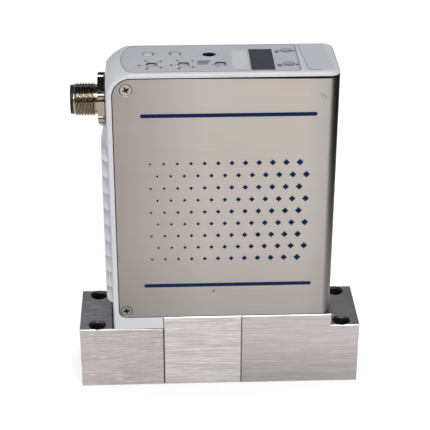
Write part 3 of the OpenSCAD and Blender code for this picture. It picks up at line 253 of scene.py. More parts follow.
def blendColours(tree, share, first, second, kind="MIX"):
    # inputs 0, 6 and 7 of a mix of colours are its share and its two colours, and output 2 is the result
    mix = tree.nodes.new("ShaderNodeMix")
    mix.data_type = "RGBA"
    mix.blend_type = kind
    for socket, value in ((mix.inputs[0], share), (mix.inputs[6], first), (mix.inputs[7], second)):
        if isinstance(value, (int, float)):
            socket.default_value = value
        elif isinstance(value, tuple):
            socket.default_value = (*value, 1)
        else:
            tree.links.new(value, socket)
    return mix.outputs[2]


def spread(tree, value, low, high, fromLow=grainLook["middle"][0], fromHigh=grainLook["middle"][1]):
    # the range fromLow to fromHigh stretched over low to high, and held at its ends
    fit = tree.nodes.new("ShaderNodeMapRange")
    fit.inputs["From Min"].default_value = fromLow
    fit.inputs["From Max"].default_value = fromHigh
    fit.inputs["To Min"].default_value = low
    fit.inputs["To Max"].default_value = high
    tree.links.new(value, fit.inputs["Value"])
    return fit.outputs["Result"]


def relief(tree, shader, height, strength):
    bump = tree.nodes.new("ShaderNodeBump")
    bump.inputs["Strength"].default_value = strength
    bump.inputs["Distance"].default_value = grainLook["reliefDepth"]
    tree.links.new(height, bump.inputs["Height"])
    tree.links.new(bump.outputs["Normal"], shader.inputs["Normal"])


def brushed(name, light, dark, lineScale, broadScale, rough, strength, patina=None, drawn=0.0,
            bandShare=0.45, crisp=0.18, fades=(), glints=0.0):
    # brushed metal: fine lines from one stretched noise, broader bands from another, and where a third
    # one peaks, short bright scratches painted as glints
    finish, tree, shader = newFinish(name)
    low, high = grainLook["middle"]
    lines = grain(tree, lineScale, *grainLook["lines"])
    bands = grain(tree, broadScale, *grainLook["bands"])
    fine = ramp(tree, lines, [(0.5 - crisp, dark), (0.5 + crisp, light)])
    broad = ramp(tree, bands, [(low, dark), (high, light)])
    colour = blendColours(tree, bandShare, fine, broad)
    if glints:
        scale = tuple(grainLook["peakScale"] * axis for axis in lineScale)
        peaks = grain(tree, scale, *grainLook["peaks"])
        low, high = grainLook["peakRange"]
        peaks = ramp(tree, peaks, [(low, none), (high, (glints,) * 3)])
        colour = blendColours(tree, 1.0, colour, peaks, "ADD")
    for axis, start, end, shade in fades:
        # darkening along one Object axis, in metres: shade at start, none from end onwards; on the cover and
        # on the inlet block's top it is painted shade
        share = spread(tree, objectAxes(tree)[axis], 0.0, 1.0, start, end)
        axisDarkening = ramp(tree, share, [(0.0, shade), (1.0, white)])
        colour = blendColours(tree, 1.0, colour, axisDarkening, "MULTIPLY")
    if patina:
        low, high = grainLook["stainRange"]
        stain = grain(tree, patina["scale"], *grainLook["stain"])
        stain = ramp(tree, stain, [(low, patina["colour"]), (high, white)])
        colour = blendColours(tree, patina["share"], colour, stain, "MULTIPLY")
    tree.links.new(colour, shader.inputs["Base Color"])
    shader.inputs["Metallic"].default_value = 1
    shader.inputs["Anisotropic"].default_value = drawn
    shader.inputs["Anisotropic Rotation"].default_value = grainLook["drawnTurn"]
    tree.links.new(spread(tree, lines, *rough), shader.inputs["Roughness"])
    relief(tree, shader, lines, strength)
    return finish


# Painted shade in the finger scallops on the grip's upright corners, in metres
scallopLook = dict(
    low=0.0366,
    pitch=0.0064,
    count=10,
    cornerX=-0.0394,
    cornerFade=0.0004,
    innerY=0.0088,
    outerY=0.0110,
    endFade=0.0001,
    shadeRange=(0.25, 0.95),
    shade=(0.62, 0.62, 0.66),
)


def calculate(tree, operation, value, other=0.0):
    node = tree.nodes.new("ShaderNodeMath")
    node.operation = operation
    tree.links.new(value, node.inputs[0])
    if isinstance(other, float):
        node.inputs[1].default_value = other
    else:
        tree.links.new(other, node.inputs[1])
    return node.outputs["Value"]


def scallopShade(tree, colour, look):
    # painted shade: darkens each scallop towards its upper end, which faces down; the share is the fraction
    # of (z - low) / pitch, inside the run of scallops, fading in from innerY to outerY and ending at cornerX
    x, y, z = [objectAxes(tree)[axis] for axis in "XYZ"]
    low, high = look["low"], look["low"] + look["pitch"] * look["count"]
    rise = calculate(tree, "DIVIDE", calculate(tree, "SUBTRACT", z, low), look["pitch"])
    share = spread(tree, calculate(tree, "FRACT", rise), 0.0, 1.0, *look["shadeRange"])
    masks = [
        spread(tree, z, 0.0, 1.0, low, low + look["endFade"]),
        spread(tree, z, 1.0, 0.0, high - look["endFade"], high),
        spread(tree, x, 1.0, 0.0, look["cornerX"] - look["cornerFade"], look["cornerX"]),
        spread(tree, calculate(tree, "ABSOLUTE", y), 0.0, 1.0, look["innerY"], look["outerY"]),
    ]
    for mask in masks:
        share = calculate(tree, "MULTIPLY", share, mask)
    return blendColours(tree, share, colour, look["shade"], "MULTIPLY")


def moulded(name, colour, shade, rough, grainScale=3500, strength=0.12, coat=0.0, gloss=0.5, scallops=None):
    # moulded or printed surface: cloudy tone, fine spark-eroded grain
    finish, tree, shader = newFinish(name)
    low, high = grainLook["middle"]
    cloud = grain(tree, (grainLook["cloudScale"],) * 3, *grainLook["cloud"])
    pores = grain(tree, (grainScale,) * 3, *grainLook["pores"])
    tone = ramp(tree, cloud, [(low, shade), (high, colour)])
    # painted shade in the grip's scallops
    if scallops:
        tone = scallopShade(tree, tone, scallops)
    tree.links.new(tone, shader.inputs["Base Color"])
    tree.links.new(spread(tree, pores, *rough), shader.inputs["Roughness"])
    shader.inputs["Coat Weight"].default_value = coat
    shader.inputs["Specular IOR Level"].default_value = gloss
    relief(tree, shader, pores, strength)
    return finish


finishes = dict(
    cover=brushed(
        "coverSteel", (0.436, 0.402, 0.376), (0.392, 0.358, 0.333), (45, 45, 5200), (14, 14, 1900),
        (0.34, 0.46), 0.05, dict(scale=(18, 18, 30), colour=(0.94, 0.93, 0.92), share=0.5), 0.85, 0.30,
        # painted shade: darker towards the sheet's left end, towards its foot, and round its right bend
        fades=[("X", -0.0375, -0.006, (0.70, 0.685, 0.69)), ("Z", 0.030, 0.060, (0.82, 0.82, 0.82)),
               ("X", 0.0380, 0.0300, (0.84, 0.87, 0.90))],
    ),
    inletBlock=brushed(
        "inletSteel", (0.52, 0.482, 0.473), (0.35, 0.318, 0.313), (120, 1500, 3300), (60, 400, 1700),
        (0.36, 0.52), 0.40, bandShare=0.25, crisp=0.11,
        # painted shade: the block's top face darker
        fades=[("Z", 0.0251, 0.0248, (0.76, 0.76, 0.79))], glints=0.24,
    ),
    centerBlock=brushed(
        "centerSteel", (0.66, 0.625, 0.615), (0.40, 0.37, 0.365), (85, 1500, 2900), (50, 400, 1500),
        (0.34, 0.52), 0.50, bandShare=0.25, crisp=0.10, glints=0.26,
    ),
    outletBlock=brushed(
        "outletSteel", (0.55, 0.51, 0.50), (0.385, 0.355, 0.35), (80, 1500, 3100), (50, 400, 1600),
        (0.34, 0.48), 0.36, bandShare=0.25, crisp=0.11,
        fades=[("Z", 0.004, 0.020, (0.76, 0.76, 0.77))], glints=0.12,
    ),
    machined=brushed(
        "machinedSteel", (0.66, 0.65, 0.64), (0.50, 0.49, 0.48), (700, 700, 3000), (200, 200, 600),
        (0.25, 0.40), 0.15,
    ),
    magnetic=brushed(
        "magneticSteel", (0.50, 0.50, 0.51), (0.38, 0.38, 0.39), (500, 500, 3500), (150, 150, 500),
        (0.30, 0.45), 0.15,
    ),
    screws=brushed(
        "screwSteel", (0.60, 0.59, 0.57), (0.42, 0.41, 0.40), (1500, 1500, 1500), (500, 500, 500),
        (0.20, 0.36), 0.10,
    ),
    coverScrews=brushed(
        "coverScrewSteel", (0.50, 0.485, 0.465), (0.22, 0.21, 0.20), (1800, 1800, 1800), (700, 700, 700),
        (0.24, 0.38), 0.10, fades=[("Z", 0.036, 0.045, (0.60, 0.58, 0.56))],
    ),
    platedBrass=brushed(
        "platedBrass", (0.34, 0.295, 0.245), (0.26, 0.22, 0.175), (500, 900, 900), (200, 300, 300),
        (0.11, 0.19), 0.02,
    ),
    gold=brushed(
        "contactGold", (0.85, 0.66, 0.30), (0.70, 0.52, 0.22), (1500, 1500, 1500), (500, 500, 500),
        (0.15, 0.28), 0.05,
    ),
    brass=brushed(
        "insertBrass", (0.75, 0.55, 0.25), (0.58, 0.42, 0.18), (1200, 1200, 1200), (400, 400, 400),
        (0.25, 0.40), 0.15,
    ),
    copper=brushed(
        "windingCopper", (0.75, 0.36, 0.18), (0.45, 0.18, 0.08), (6000, 400, 400), (900, 300, 300),
        (0.25, 0.42), 0.35,
    ),
    sheetMetal=brushed(
        "bracketAluminium", (0.72, 0.72, 0.73), (0.60, 0.60, 0.61), (200, 200, 3000), (90, 90, 400),
        (0.32, 0.45), 0.15,
    ),
    housing=moulded(
        "whiteMoulding", (0.585, 0.59, 0.615), (0.55, 0.555, 0.58), (0.38, 0.50), scallops=scallopLook,
    ),
    overlay=moulded("overlayFilm", (0.478, 0.488, 0.524), (0.45, 0.46, 0.496), (0.34, 0.44), 2600, 0.08),
    tape=moulded("whiteTape", (0.58, 0.58, 0.59), (0.53, 0.53, 0.54), (0.50, 0.62), 1200, 0.20),
    label=moulded("labelFilm", (0.52, 0.53, 0.56), (0.50, 0.51, 0.54), (0.30, 0.40), 2200, 0.06),
    black=moulded(
        "blackMoulding", (0.015, 0.015, 0.016), (0.010, 0.010, 0.011), (0.32, 0.48), 3000, 0.15, gloss=0.12,
    ),
    rubber=moulded("sealRubber", (0.018, 0.018, 0.018), (0.010, 0.010, 0.010), (0.60, 0.75), 2500, 0.25),
    board=moulded("boardMask", (0.030, 0.150, 0.065), (0.020, 0.115, 0.050), (0.22, 0.34), 900, 0.20, 0.3),
    amber=moulded("amberFilm", (0.42, 0.19, 0.035), (0.34, 0.14, 0.025), (0.18, 0.28), 1500, 0.10, 0.4),
    coil=moulded("coilTape", (0.06, 0.035, 0.025), (0.04, 0.025, 0.020), (0.30, 0.45), 1500, 0.25),
    dial=moulded("dialMoulding", (0.62, 0.63, 0.66), (0.54, 0.55, 0.58), (0.32, 0.46), 2500, 0.15),
    button=moulded("buttonMoulding", (0.24, 0.25, 0.30), (0.19, 0.20, 0.25), (0.30, 0.42), 2500, 0.12),
    window=moulded(
        "smokedWindow", (0.040, 0.044, 0.050), (0.033, 0.037, 0.043), (0.16, 0.24), 1500, 0.04, 0.5,
    ),
    lensWarm=moulded("warmLens", (0.66, 0.56, 0.45), (0.56, 0.46, 0.35), (0.18, 0.28), 2500, 0.10, 0.5),
    lensGreen=moulded("greenLens", (0.55, 0.57, 0.41), (0.47, 0.49, 0.33), (0.18, 0.28), 2500, 0.10, 0.5),
    navyInk=moulded(
        "navyInk", (0.003, 0.014, 0.068), (0.002, 0.011, 0.056), (0.45, 0.60), 4000, 0.10, gloss=0.08,
    ),
    darkInk=moulded(
        "darkInk", (0.035, 0.038, 0.048), (0.025, 0.027, 0.034), (0.45, 0.60), 4000, 0.10, gloss=0.15,
    ),
    greyInk=moulded("greyInk", (0.19, 0.20, 0.235), (0.16, 0.17, 0.20), (0.40, 0.55), 4000, 0.10),
    scratchAndShade=moulded("scratchAndShadeMark", (0.035, 0.026, 0.022), (0.025, 0.018, 0.015), (0.45, 0.60), 4000, 0.20),
    gapShade=moulded(
        "gapShade", (0.010, 0.009, 0.009), (0.006, 0.005, 0.005), (0.65, 0.80), 3000, 0.10, gloss=0.1,
    ),
    collar=moulded("collarMoulding", (0.70, 0.71, 0.74), (0.64, 0.65, 0.68), (0.30, 0.42), 2500, 0.10),
    brightSteel=brushed(
        "brightSteel", (0.85, 0.85, 0.87), (0.70, 0.70, 0.72), (700, 700, 700), (300, 300, 300),
        (0.50, 0.70), 0.20,
    ),
    darkSteel=brushed(
        "darkSteel", (0.085, 0.080, 0.080), (0.035, 0.033, 0.033), (900, 900, 900), (300, 300, 300),
        (0.42, 0.60), 0.15,
    ),
)

# The nodes that wear each finish
finishNodes = dict(
    inletBlock=["inlet_block"],
    centerBlock=["center_block"],
    outletBlock=["outlet_block"],
    machined=["body_seal", "flow_element", "sensor_base", "sensor_tube", "sensor_can", "valve_seat",
              "guide_tube", "clamp_plate"],
    magnetic=["valve_plunger", "valve_core", "valve_yoke", "yoke_cap"],
    screws=["body_screws", "valve_spring", "valve_nut", "deck_screws", "board_screws", "foot_screws"],
    rubber=["sensor_seals", "plunger_disc", "valve_seal", "connector_gasket"],
    copper=["sensor_windings"],
    coil=["valve_coil"],
    sheetMetal=["board_bracket"],
    board=["main_board", "top_board", "connector_board"],
    amber=["sensor_strip", "coil_strip", "connector_strip"],
    black=["board_chips", "board_link", "dial_switches", "button_switches", "diagnostic_jack",
           "display_module", "connector_insert"],
    dial=["dial_high", "dial_low", "dial_rate"],
    button=["button_back", "button_front"],
    lensWarm=["lamp_lenses"],
    window=["display_window"],
    overlay=["overlay"],
    tape=["tape_strip"],
    label=["data_label"],
    platedBrass=["connector_shell", "connector_nut"],
    gold=["connector_pins"],
    housing=["housing"],
    cover=["cover"],
    coverScrews=["cover_screws"],
    brass=["screw_inserts"],
    navyInk=["front_print"],
)
for finish, names in finishNodes.items():
    for name in names:
        for slot in nodes[name].material_slots:
            slot.material = finishes[finish]


def stagePaper(name, colour, shade, rough, grainScale, glow=0.0):
    paper = moulded(name, colour, shade, rough, grainScale, studio["paperGrain"])
    shader = paper.node_tree.nodes["Principled BSDF"]
    shader.inputs["Emission Color"].default_value = (1, 1, 1, 1)
    shader.inputs["Emission Strength"].default_value = glow
    return paper


for floor, kind in zip(floors, ("floor", "bounce")):
    colour, glow = studio[kind + "Colour"], studio[kind + "Glow"]
    shade = tuple(studio["floorCloud"] * channel for channel in colour)
    floor.data.materials.append(stagePaper("paleFloor", colour, shade, *studio["floorPaper"], glow))
for card in cards:
    colour = studio["cardColour"]
    card.data.materials.append(stagePaper("darkCard", colour, colour, *studio["cardPaper"]))
print("materials assigned")


# Surfaces worked out with numpy, in millimetres until they are made into pieces. A surface is a pair of
# points and faces
def gridFaces(rows, columns, wrapRows=False, wrapColumns=False):
    # quads between neighbouring points of a grid, rows by columns
    row = np.arange(rows if wrapRows else rows - 1)
    column = np.arange(columns if wrapColumns else columns - 1)
    row, column = np.meshgrid(row, column, indexing="ij")
    nextRow, nextColumn = (row + 1) % rows * columns, (column + 1) % columns
    row = row * columns
    corners = [row + column, row + nextColumn, nextRow + nextColumn, nextRow + column]
    return np.stack(corners, -1).reshape(-1, 4)


def addPiece(name, surface, finish, body="controller", replaces=(), sharp=35, second=None):
    points, faces = surface
    mesh = bpy.data.meshes.new(name)
    mesh.from_pydata((np.asarray(points).reshape(-1, 3) * mm).tolist(), [], [tuple(face) for face in faces])
    mesh.polygons.foreach_set("use_smooth", np.ones(len(mesh.polygons), bool))
    mesh.set_sharp_from_angle(angle=math.radians(sharp))
    mesh.materials.append(finishes[finish])
    if second:
        # another finish for the faces that a mask picks out
        otherFinish, mask = second
        mesh.materials.append(finishes[otherFinish])
        mesh.polygons.foreach_set("material_index", np.asarray(mask, dtype=np.int32))
    piece = bpy.data.objects.new(name, mesh)
    scene.collection.objects.link(piece)
    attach(piece, body)
    if replaces:
        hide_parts(*replaces)
    return piece


def joined(surfaces):
    points, faces, count = [], [], 0
    for ownPoints, ownFaces in surfaces:
        ownPoints = np.asarray(ownPoints).reshape(-1, 3)
        points.append(ownPoints)
        faces.extend([index + count for index in face] for face in ownFaces)
        count += len(ownPoints)
    return np.concatenate(points), faces


def endCaps(rings, count):
    # a flat face over the first ring and one over the last; seen from beyond the last, the rings run
    # anticlockwise
    last = (rings - 1) * count
    return [list(range(count))[::-1], list(range(last, last + count))]


def onTop(x, y, height):
    return np.stack([x, y, height + 0 * x], -1)


def strip(path, width, place, upper, lower, closed=False):
    # flat band: every point of a path goes half a width to its left and right, at two heights over the
    # surface that place() lays it on; the section is a rectangle, carried along the path
    path = np.asarray(path, float)
    if closed:
        ahead, behind = np.roll(path, -1, 0), np.roll(path, 1, 0)
    else:
        ahead = np.concatenate([path[1:], path[-1:]])
        behind = np.concatenate([path[:1], path[:-1]])
    along = ahead - behind
    along /= np.linalg.norm(along, axis=1)[:, None]
    half = np.broadcast_to(np.asarray(width, float) / 2, len(path))[:, None]
    side = np.stack([-along[:, 1], along[:, 0]], 1) * half
    left, right = path + side, path - side
    corners = [(left, upper), (right, upper), (right, lower), (left, lower)]
    rows = np.stack([place(edge[:, 0], edge[:, 1], height) for edge, height in corners], 1)
    faces = gridFaces(len(path), len(corners), closed, True).tolist()
    if not closed:
        faces += endCaps(len(path), len(corners))
    return rows.reshape(-1, 3), faces


def arcPath(centre, radius, start, end, count):
    # from one angle to the other: centre + radius (cos, sin)
    turn = np.linspace(start, end, count)
    return np.column_stack([centre[0] + radius * np.cos(turn), centre[1] + radius * np.sin(turn)])


def circlePath(centre, radius, count=48):
    return arcPath(centre, radius, 0, 2 * np.pi, count + 1)[:-1]


def turned(profile, centre, count=64, solid=False):
    # profile of (radius, height) pairs, upwards on the outside, turned about an upright axis by an angle:
    # x = radius cos, y = radius sin; a ring closes on itself, a solid gets a flat face at either end
    profile = np.asarray(profile, float)
    turn = np.linspace(0, 2 * np.pi, count, endpoint=False)
    radius, height = profile[:, 0][:, None], profile[:, 1][:, None]
    x, y = centre[0] + radius * np.cos(turn), centre[1] + radius * np.sin(turn)
    points = np.stack([x, y, height + 0 * turn], -1)
    faces = gridFaces(len(profile), count, not solid, True).tolist()
    if solid:
        faces += endCaps(len(profile), count)
    return points.reshape(-1, 3), faces


def boxOf(node):
    # the node's lowest and highest corners in millimetres
    return [np.array(corner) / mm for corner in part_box(node)]


def middleOf(node):
    low, high = boxOf(node)
    return ((low + high) / 2)[:2]


# Threaded shell of the connector
shellShape = dict(
    pitch=1.0,
    crest=6.0,
    threadDepth=0.62,
    threadFromTip=0.35,
    threadFromHex=0.95,
    ringStep=0.085,
    fadeIn=0.5,
    fadeOut=0.4,
    sawGain=1.3,
    sawShift=0.15,
    lipRadii=(5.30, 5.42),
    lipLength=0.12,
    hexFlats=18.0,
    hexRound=1.8,
    hexThickness=2.6,
    hexFromTip=8.6,
    frontChamfer=0.25,
    chamferStand=0.5,
    rearChamfer=(0.2, 0.12),
    reliefRadius=5.25,
    reliefStep=0.05,
    boreRadius=5.19,
    steps=264,
)


def hexRadii(shape, turn):
    # half the flats over the cosine of the angle to the nearest flat, and near a corner the radius of a
    # round of hexRound set into the corner
    half, sixth = shape["hexFlats"] / 2, np.pi / 6
    toFlat = (turn - sixth) % (2 * sixth) - sixth
    toCorner = sixth - np.abs(toFlat)
    heart = (half - shape["hexRound"]) / math.cos(sixth)
    reach = np.maximum(shape["hexRound"] ** 2 - (heart * np.sin(toCorner)) ** 2, 0)
    rounded = heart * np.cos(toCorner) + np.sqrt(reach)
    return np.minimum(half / np.cos(toFlat), np.where(reach > 0, rounded, half * 2))


def threadRadii(shape, x, turn):
    # crest minus depth times a clipped saw of x / pitch - turn / 2 pi, so it climbs like a thread, and
    # fades at both ends
    phase = (x[:, None] / shape["pitch"] - turn / (2 * np.pi)) % 1.0
    saw = np.clip(np.abs(2 * phase - 1) * shape["sawGain"] - shape["sawShift"], 0, 1)
    fade = np.clip((x - x[0]) / shape["fadeIn"], 0, 1) * np.clip((x[-1] - x) / shape["fadeOut"], 0, 1)
    return shape["crest"] - shape["threadDepth"] * (1 - saw * fade[:, None])


def threadedShell(shape):
    # rings along x, each with a radius for every angle: lip, thread, relief, hexagon, tail, and the bore
    low, high = boxOf("connector_shell")
    front, rear = low[0], high[0]
    hexFront = front + shape["hexFromTip"]
    hexRear = hexFront + shape["hexThickness"]
    turn = np.linspace(0, 2 * np.pi, shape["steps"], endpoint=False)
    hexagon = hexRadii(shape, turn)
    start, end = front + shape["threadFromTip"], hexFront - shape["threadFromHex"]
    x = np.linspace(start, end, int((end - start) / shape["ringStep"]))
    bore, crest, relieved = shape["boreRadius"], shape["crest"], shape["reliefRadius"]
    along, inward = shape["rearChamfer"]
    mouth, lip = shape["lipRadii"]
    rings = [(front, bore), (front, mouth), (front + shape["lipLength"], lip)]
    rings += list(zip(x, threadRadii(shape, x, turn)))
    rings += [(end + shape["reliefStep"], relieved), (hexFront, relieved)]
    rings += [(hexFront, np.minimum(hexagon, shape["hexFlats"] / 2 + shape["chamferStand"]))]
    rings += [(hexFront + shape["frontChamfer"], hexagon), (hexRear - along, hexagon)]
    rings += [(hexRear, hexagon - inward), (hexRear, crest), (rear, crest), (rear, bore)]
    places = np.array([place for place, radius in rings])[:, None] + 0 * turn
    radii = np.array([radius + 0 * turn for place, radius in rings])
    axisHeight = (low[2] + high[2]) / 2
    points = np.stack([places, radii * np.cos(turn), axisHeight + radii * np.sin(turn)], -1)
    return points, gridFaces(len(rings), len(turn), True, True)


addPiece("threadedShell", threadedShell(shellShape), "platedBrass",
         replaces=["connector_shell"], sharp=28)
print("connector shell threaded")

# The bent sheet's outside, and the ways to lie on it, on the blocks' fronts and on their rears
coverLow, coverHigh = boxOf("cover")
coverShape = dict(
    left=coverLow[0],
    low=coverLow[2],
    high=coverHigh[2],
    side=coverHigh[0],
    face=coverHigh[1],
    bend=4.0,
    topCorner=6.6,
    lowCorner=2.6,
    footEnd=-21.3,
)
halfWay = coverShape["side"] - coverShape["bend"] + coverShape["bend"] * np.pi / 2
halfWay += coverShape["face"] - coverShape["bend"]


def onCover(run, height, out):
    # run goes along the front, round the right end and back along the rear; in the bend the angle is
    # (run - straight) / bend and the place is the bend's centre plus (bend + out) (sin, -cos)
    shape = coverShape
    straight = shape["side"] - shape["bend"]
    inner = shape["face"] - shape["bend"]
    behind = run > halfWay
    run = np.where(behind, 2 * halfWay - run, run)
    turn = np.clip((run - straight) / shape["bend"], 0, np.pi / 2)
    x = np.minimum(run, straight) + (shape["bend"] + out) * np.sin(turn)
    y = -inner - (shape["bend"] + out) * np.cos(turn)
    y += np.maximum(run - straight - shape["bend"] * np.pi / 2, 0)
    return np.stack([x, np.where(behind, -y, y), height + 0 * x], -1)


def onFront(x, z, out):
    return np.stack([x, -coverShape["face"] - out + 0 * x, z + 0 * x], -1)


def onRear(x, z, out):
    # seen from behind, so x runs the other way
    return np.stack([-x, coverShape["face"] + out + 0 * x, z + 0 * x], -1)


# Cover screws with crossed recesses
screwShape = dict(
    head=2.25,
    seat=0.27,
    crown=0.10,
    grooveSlope=0.04,
    grooveDepth=0.22,
    sink=0.9,
    shank=1.25,
    length=5.6,
    heart=0.02,
    lip=0.02,
    crossReach=1.25,
    crossHalf=0.30,
    # the arms' half widths are these shares of crossHalf at the heart, and less by this at their ends
    crossTaper=(1.25, 0.45),
    crossDepth=0.85,
    crossSlope=0.14,
    crossEnd=0.45,
    # painted shade: a face is dark where the cross is past darkFrom at more than darkShare of its corners,
    # and in the groove round the head
    darkFrom=0.45,
    darkShare=0.6,
    rings=40,
    steps=96,
    turns=(28, 12, 40, 65),
)


def crossScrew(shape, centre, turnDegrees):
    # height from the face at a radius and angle: -crown radius^2 / head^2, less a cross and a groove
    # round the head; the cross is a step in the distance to the nearer arm, times one in its reach
    head, heart, sink, shank = shape["head"], shape["heart"], shape["sink"], shape["shank"]
    turn = np.linspace(0, 2 * np.pi, shape["steps"], endpoint=False)
    rim = head - shape["seat"]
    bottom = rim + shape["grooveSlope"]
    radii = [heart, *np.linspace(3 * heart, rim, shape["rings"]), bottom, head - shape["lip"], head]
    radius, angle = np.meshgrid(radii, turn, indexing="ij")
    local = angle - math.radians(turnDegrees)
    level, upright = np.abs(radius * np.cos(local)), np.abs(radius * np.sin(local))
    across, reach = np.minimum(level, upright), np.maximum(level, upright)
    wide, taper = shape["crossTaper"]
    wide = shape["crossHalf"] * (wide - taper * reach / shape["crossReach"])
    cross = np.clip((wide - across) / shape["crossSlope"], 0, 1)
    cross = cross * np.clip((shape["crossReach"] - reach) / shape["crossEnd"], 0, 1)
    groove = np.clip((radius - rim) / shape["grooveSlope"], 0, 1)
    height = -shape["crown"] * (radius / head) ** 2
    height = height - shape["crossDepth"] * cross - shape["grooveDepth"] * groove
    # the countersink and the shank below the head
    length = shape["length"]
    under = np.array([(head - sink, -sink), (shank, -sink), (shank, -length), (heart, -length)])
    outwards = np.concatenate([radius, under[:, :1] + 0 * turn])
    upwards = np.concatenate([height, under[:, 1:] + 0 * turn])
    around = np.concatenate([angle, turn + 0 * under[:, :1]])
    x, y, z = centre
    facing = -1 if y < 0 else 1
    x, z = x + outwards * np.cos(around), z + outwards * np.sin(around)
    points = np.stack([x, y + facing * upwards, z], -1)
    faces = gridFaces(len(outwards), len(turn), False, True)
    # painted shade in the cross and in the groove round the head
    dark = (cross > shape["darkFrom"]) | (radius > rim + shape["grooveSlope"] / 2)
    shaded = np.concatenate([dark.ravel(), np.zeros(len(under) * len(turn), bool)])
    mask = shaded[faces].mean(1) > shape["darkShare"]
    caps = endCaps(len(outwards), len(turn))
    # the front screws are mirrored, so their faces run the other way round
    if facing < 0:
        faces = faces[:, ::-1]
        caps = [cap[::-1] for cap in caps]
    return points.reshape(-1, 3), faces.tolist() + caps, np.concatenate([mask, [True, False]])


low, high = boxOf("cover_screws")
low, high, face = low + screwShape["head"], high - screwShape["head"], coverShape["face"]
places = [(x, y, z) for y in (-face, face) for x, z in ((high[0], high[2]), (low[0], low[2]))]
screws = [crossScrew(screwShape, place, turn) for place, turn in zip(places, screwShape["turns"])]
addPiece("crossScrews", joined([screw[:2] for screw in screws]), "coverScrews",
         replaces=["cover_screws"], second=("gapShade", np.concatenate([screw[2] for screw in screws])))
print("cover screws cut")

# Return spring of the valve, wound at one length; the real one shortens as the plunger lifts
springShape = dict(
    wire=0.5,
    turns=5,
    stepsPerTurn=36,
    sides=12,
    lift=0.4,
)


def returnSpring(shape):
    # centre line at a turn: (radius cos, radius sin, base + rise turn / turns); a round wire is carried
    # along it, with radius + wire cos outwards and wire sin upwards at its own angle
    low, high = boxOf("valve_spring")
    wire = shape["wire"] / 2
    radius = (high[0] - low[0]) / 2 - wire
    base = low[2] + wire
    rise = high[2] - wire - base
    steps = shape["turns"] * shape["stepsPerTurn"] + 1
    turn = np.linspace(0, shape["turns"], steps)[:, None]
    around = -np.linspace(0, 2 * np.pi, shape["sides"], endpoint=False)[None, :]
    out = radius + wire * np.cos(around)
    centre = middleOf("valve_spring")
    points = np.stack([
        centre[0] + out * np.cos(2 * np.pi * turn),
        centre[1] + out * np.sin(2 * np.pi * turn),
        base + rise * turn / shape["turns"] + wire * np.sin(around),
    ], -1)
    faces = gridFaces(steps, shape["sides"], False, True).tolist() + endCaps(steps, shape["sides"])
    return points.reshape(-1, 3), faces


spring = addPiece("returnSpring", returnSpring(springShape), "screws",
                  replaces=["valve_spring"])
low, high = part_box("valve_spring")
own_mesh(spring)
print("return spring wound")

# Front print: two bars and a field of diamonds
frontInk = dict(
    centre=2.75,
    barLength=61.4,
    barWidth=1.42,
    barHeights=(111.7, 43.85),
    # angle at which the round ends are cut off, so that they have some width
    bluntAngle=0.12,
    ink=0.04,
    under=-0.01,
    columns=12,
    rows=9,
    cell=4.80,
    smallest=1.0,
    largest=2.6,
    fieldHeight=74.12,
)


def inkBar(look, height):
    # half width at a distance from the nearer end: sqrt(radius^2 - (radius - distance)^2), up to the radius
    radius, length = look["barWidth"] / 2, look["barLength"]
    ends = radius * (1 - np.cos(np.linspace(look["bluntAngle"], np.pi / 2, 12)))
    along = np.concatenate([ends, np.linspace(1, length - 1, 40), length - ends[::-1]])
    near = np.minimum(np.minimum(along, length - along), radius)
    width = 2 * np.sqrt(radius ** 2 - (radius - near) ** 2)
    path = np.column_stack([look["centre"] - length / 2 + along, np.full(len(along), height)])
    return strip(path, width, onCover, look["ink"], look["under"])


def inkDiamonds(look):
    # centres on a grid whose odd rows are shifted half a cell; half diagonal grows from left to right
    column, row = np.meshgrid(np.arange(look["columns"]), np.arange(look["rows"]), indexing="ij")
    x = look["centre"] + (column - (look["columns"] - 1) / 2 + (row % 2 - 0.5) / 2) * look["cell"]
    z = look["fieldHeight"] + (row - (look["rows"] - 1) / 2) * look["cell"]
    growth = column / (look["columns"] - 1)
    half = (look["smallest"] + (look["largest"] - look["smallest"]) * growth).ravel()[:, None] / 2
    cornerX = x.ravel()[:, None] + half * np.array([1, 0, -1, 0])
    cornerZ = z.ravel()[:, None] + half * np.array([0, 1, 0, -1])
    points = np.concatenate([onCover(cornerX, cornerZ, look[side]) for side in ("ink", "under")], 1)
    pattern = [(0, 1, 2, 3), (7, 6, 5, 4), (4, 5, 1, 0), (5, 6, 2, 1), (6, 7, 3, 2), (7, 4, 0, 3)]
    faces = np.arange(x.size)[:, None, None] * 8 + np.array(pattern)
    return points.reshape(-1, 3), faces.reshape(-1, 4).tolist()


bars = [inkBar(frontInk, height) for height in frontInk["barHeights"]]
addPiece("frontInk", joined(bars + [inkDiamonds(frontInk)]), "navyInk",
         replaces=["front_print"])
print("front printed")

# Painted shade in the gap between the moulding's rim and the sheet, and the rim's painted shadow on the
# sheet, bolder to the right
seamShape = dict(
    gap=0.29,
    depth=0.13,
    floor=0.45,
    shadeEnds=-30.0,
    shadeFrom=-12.0,
    shadeOver=48.0,
    thin=0.06,
    bold=0.62,
    overRim=0.06,
    film=0.02,
)


def coverEdge(shape, gap):
    # from the foot's end round the two left corners and along the top, then the same way back behind
    left, low, high = shape["left"], shape["low"], shape["high"]
    lowCorner, topCorner = shape["lowCorner"], shape["topCorner"]
    start = np.array([[shape["footEnd"], low - gap / 2]])
    lowArc = arcPath((left + lowCorner, low + lowCorner), lowCorner + gap / 2, -np.pi / 2, -np.pi, 9)
    topArc = arcPath((left + topCorner, high - topCorner), topCorner + gap / 2, np.pi, np.pi / 2, 15)
    run = np.linspace(left + topCorner + 1, halfWay, 120)
    top = np.column_stack([run, np.full(len(run), high + gap / 2)])
    front = np.concatenate([start, lowArc, topArc, top])
    back = front[::-1][1:].copy()
    back[:, 0] = 2 * halfWay - back[:, 0]
    return np.concatenate([front, back])


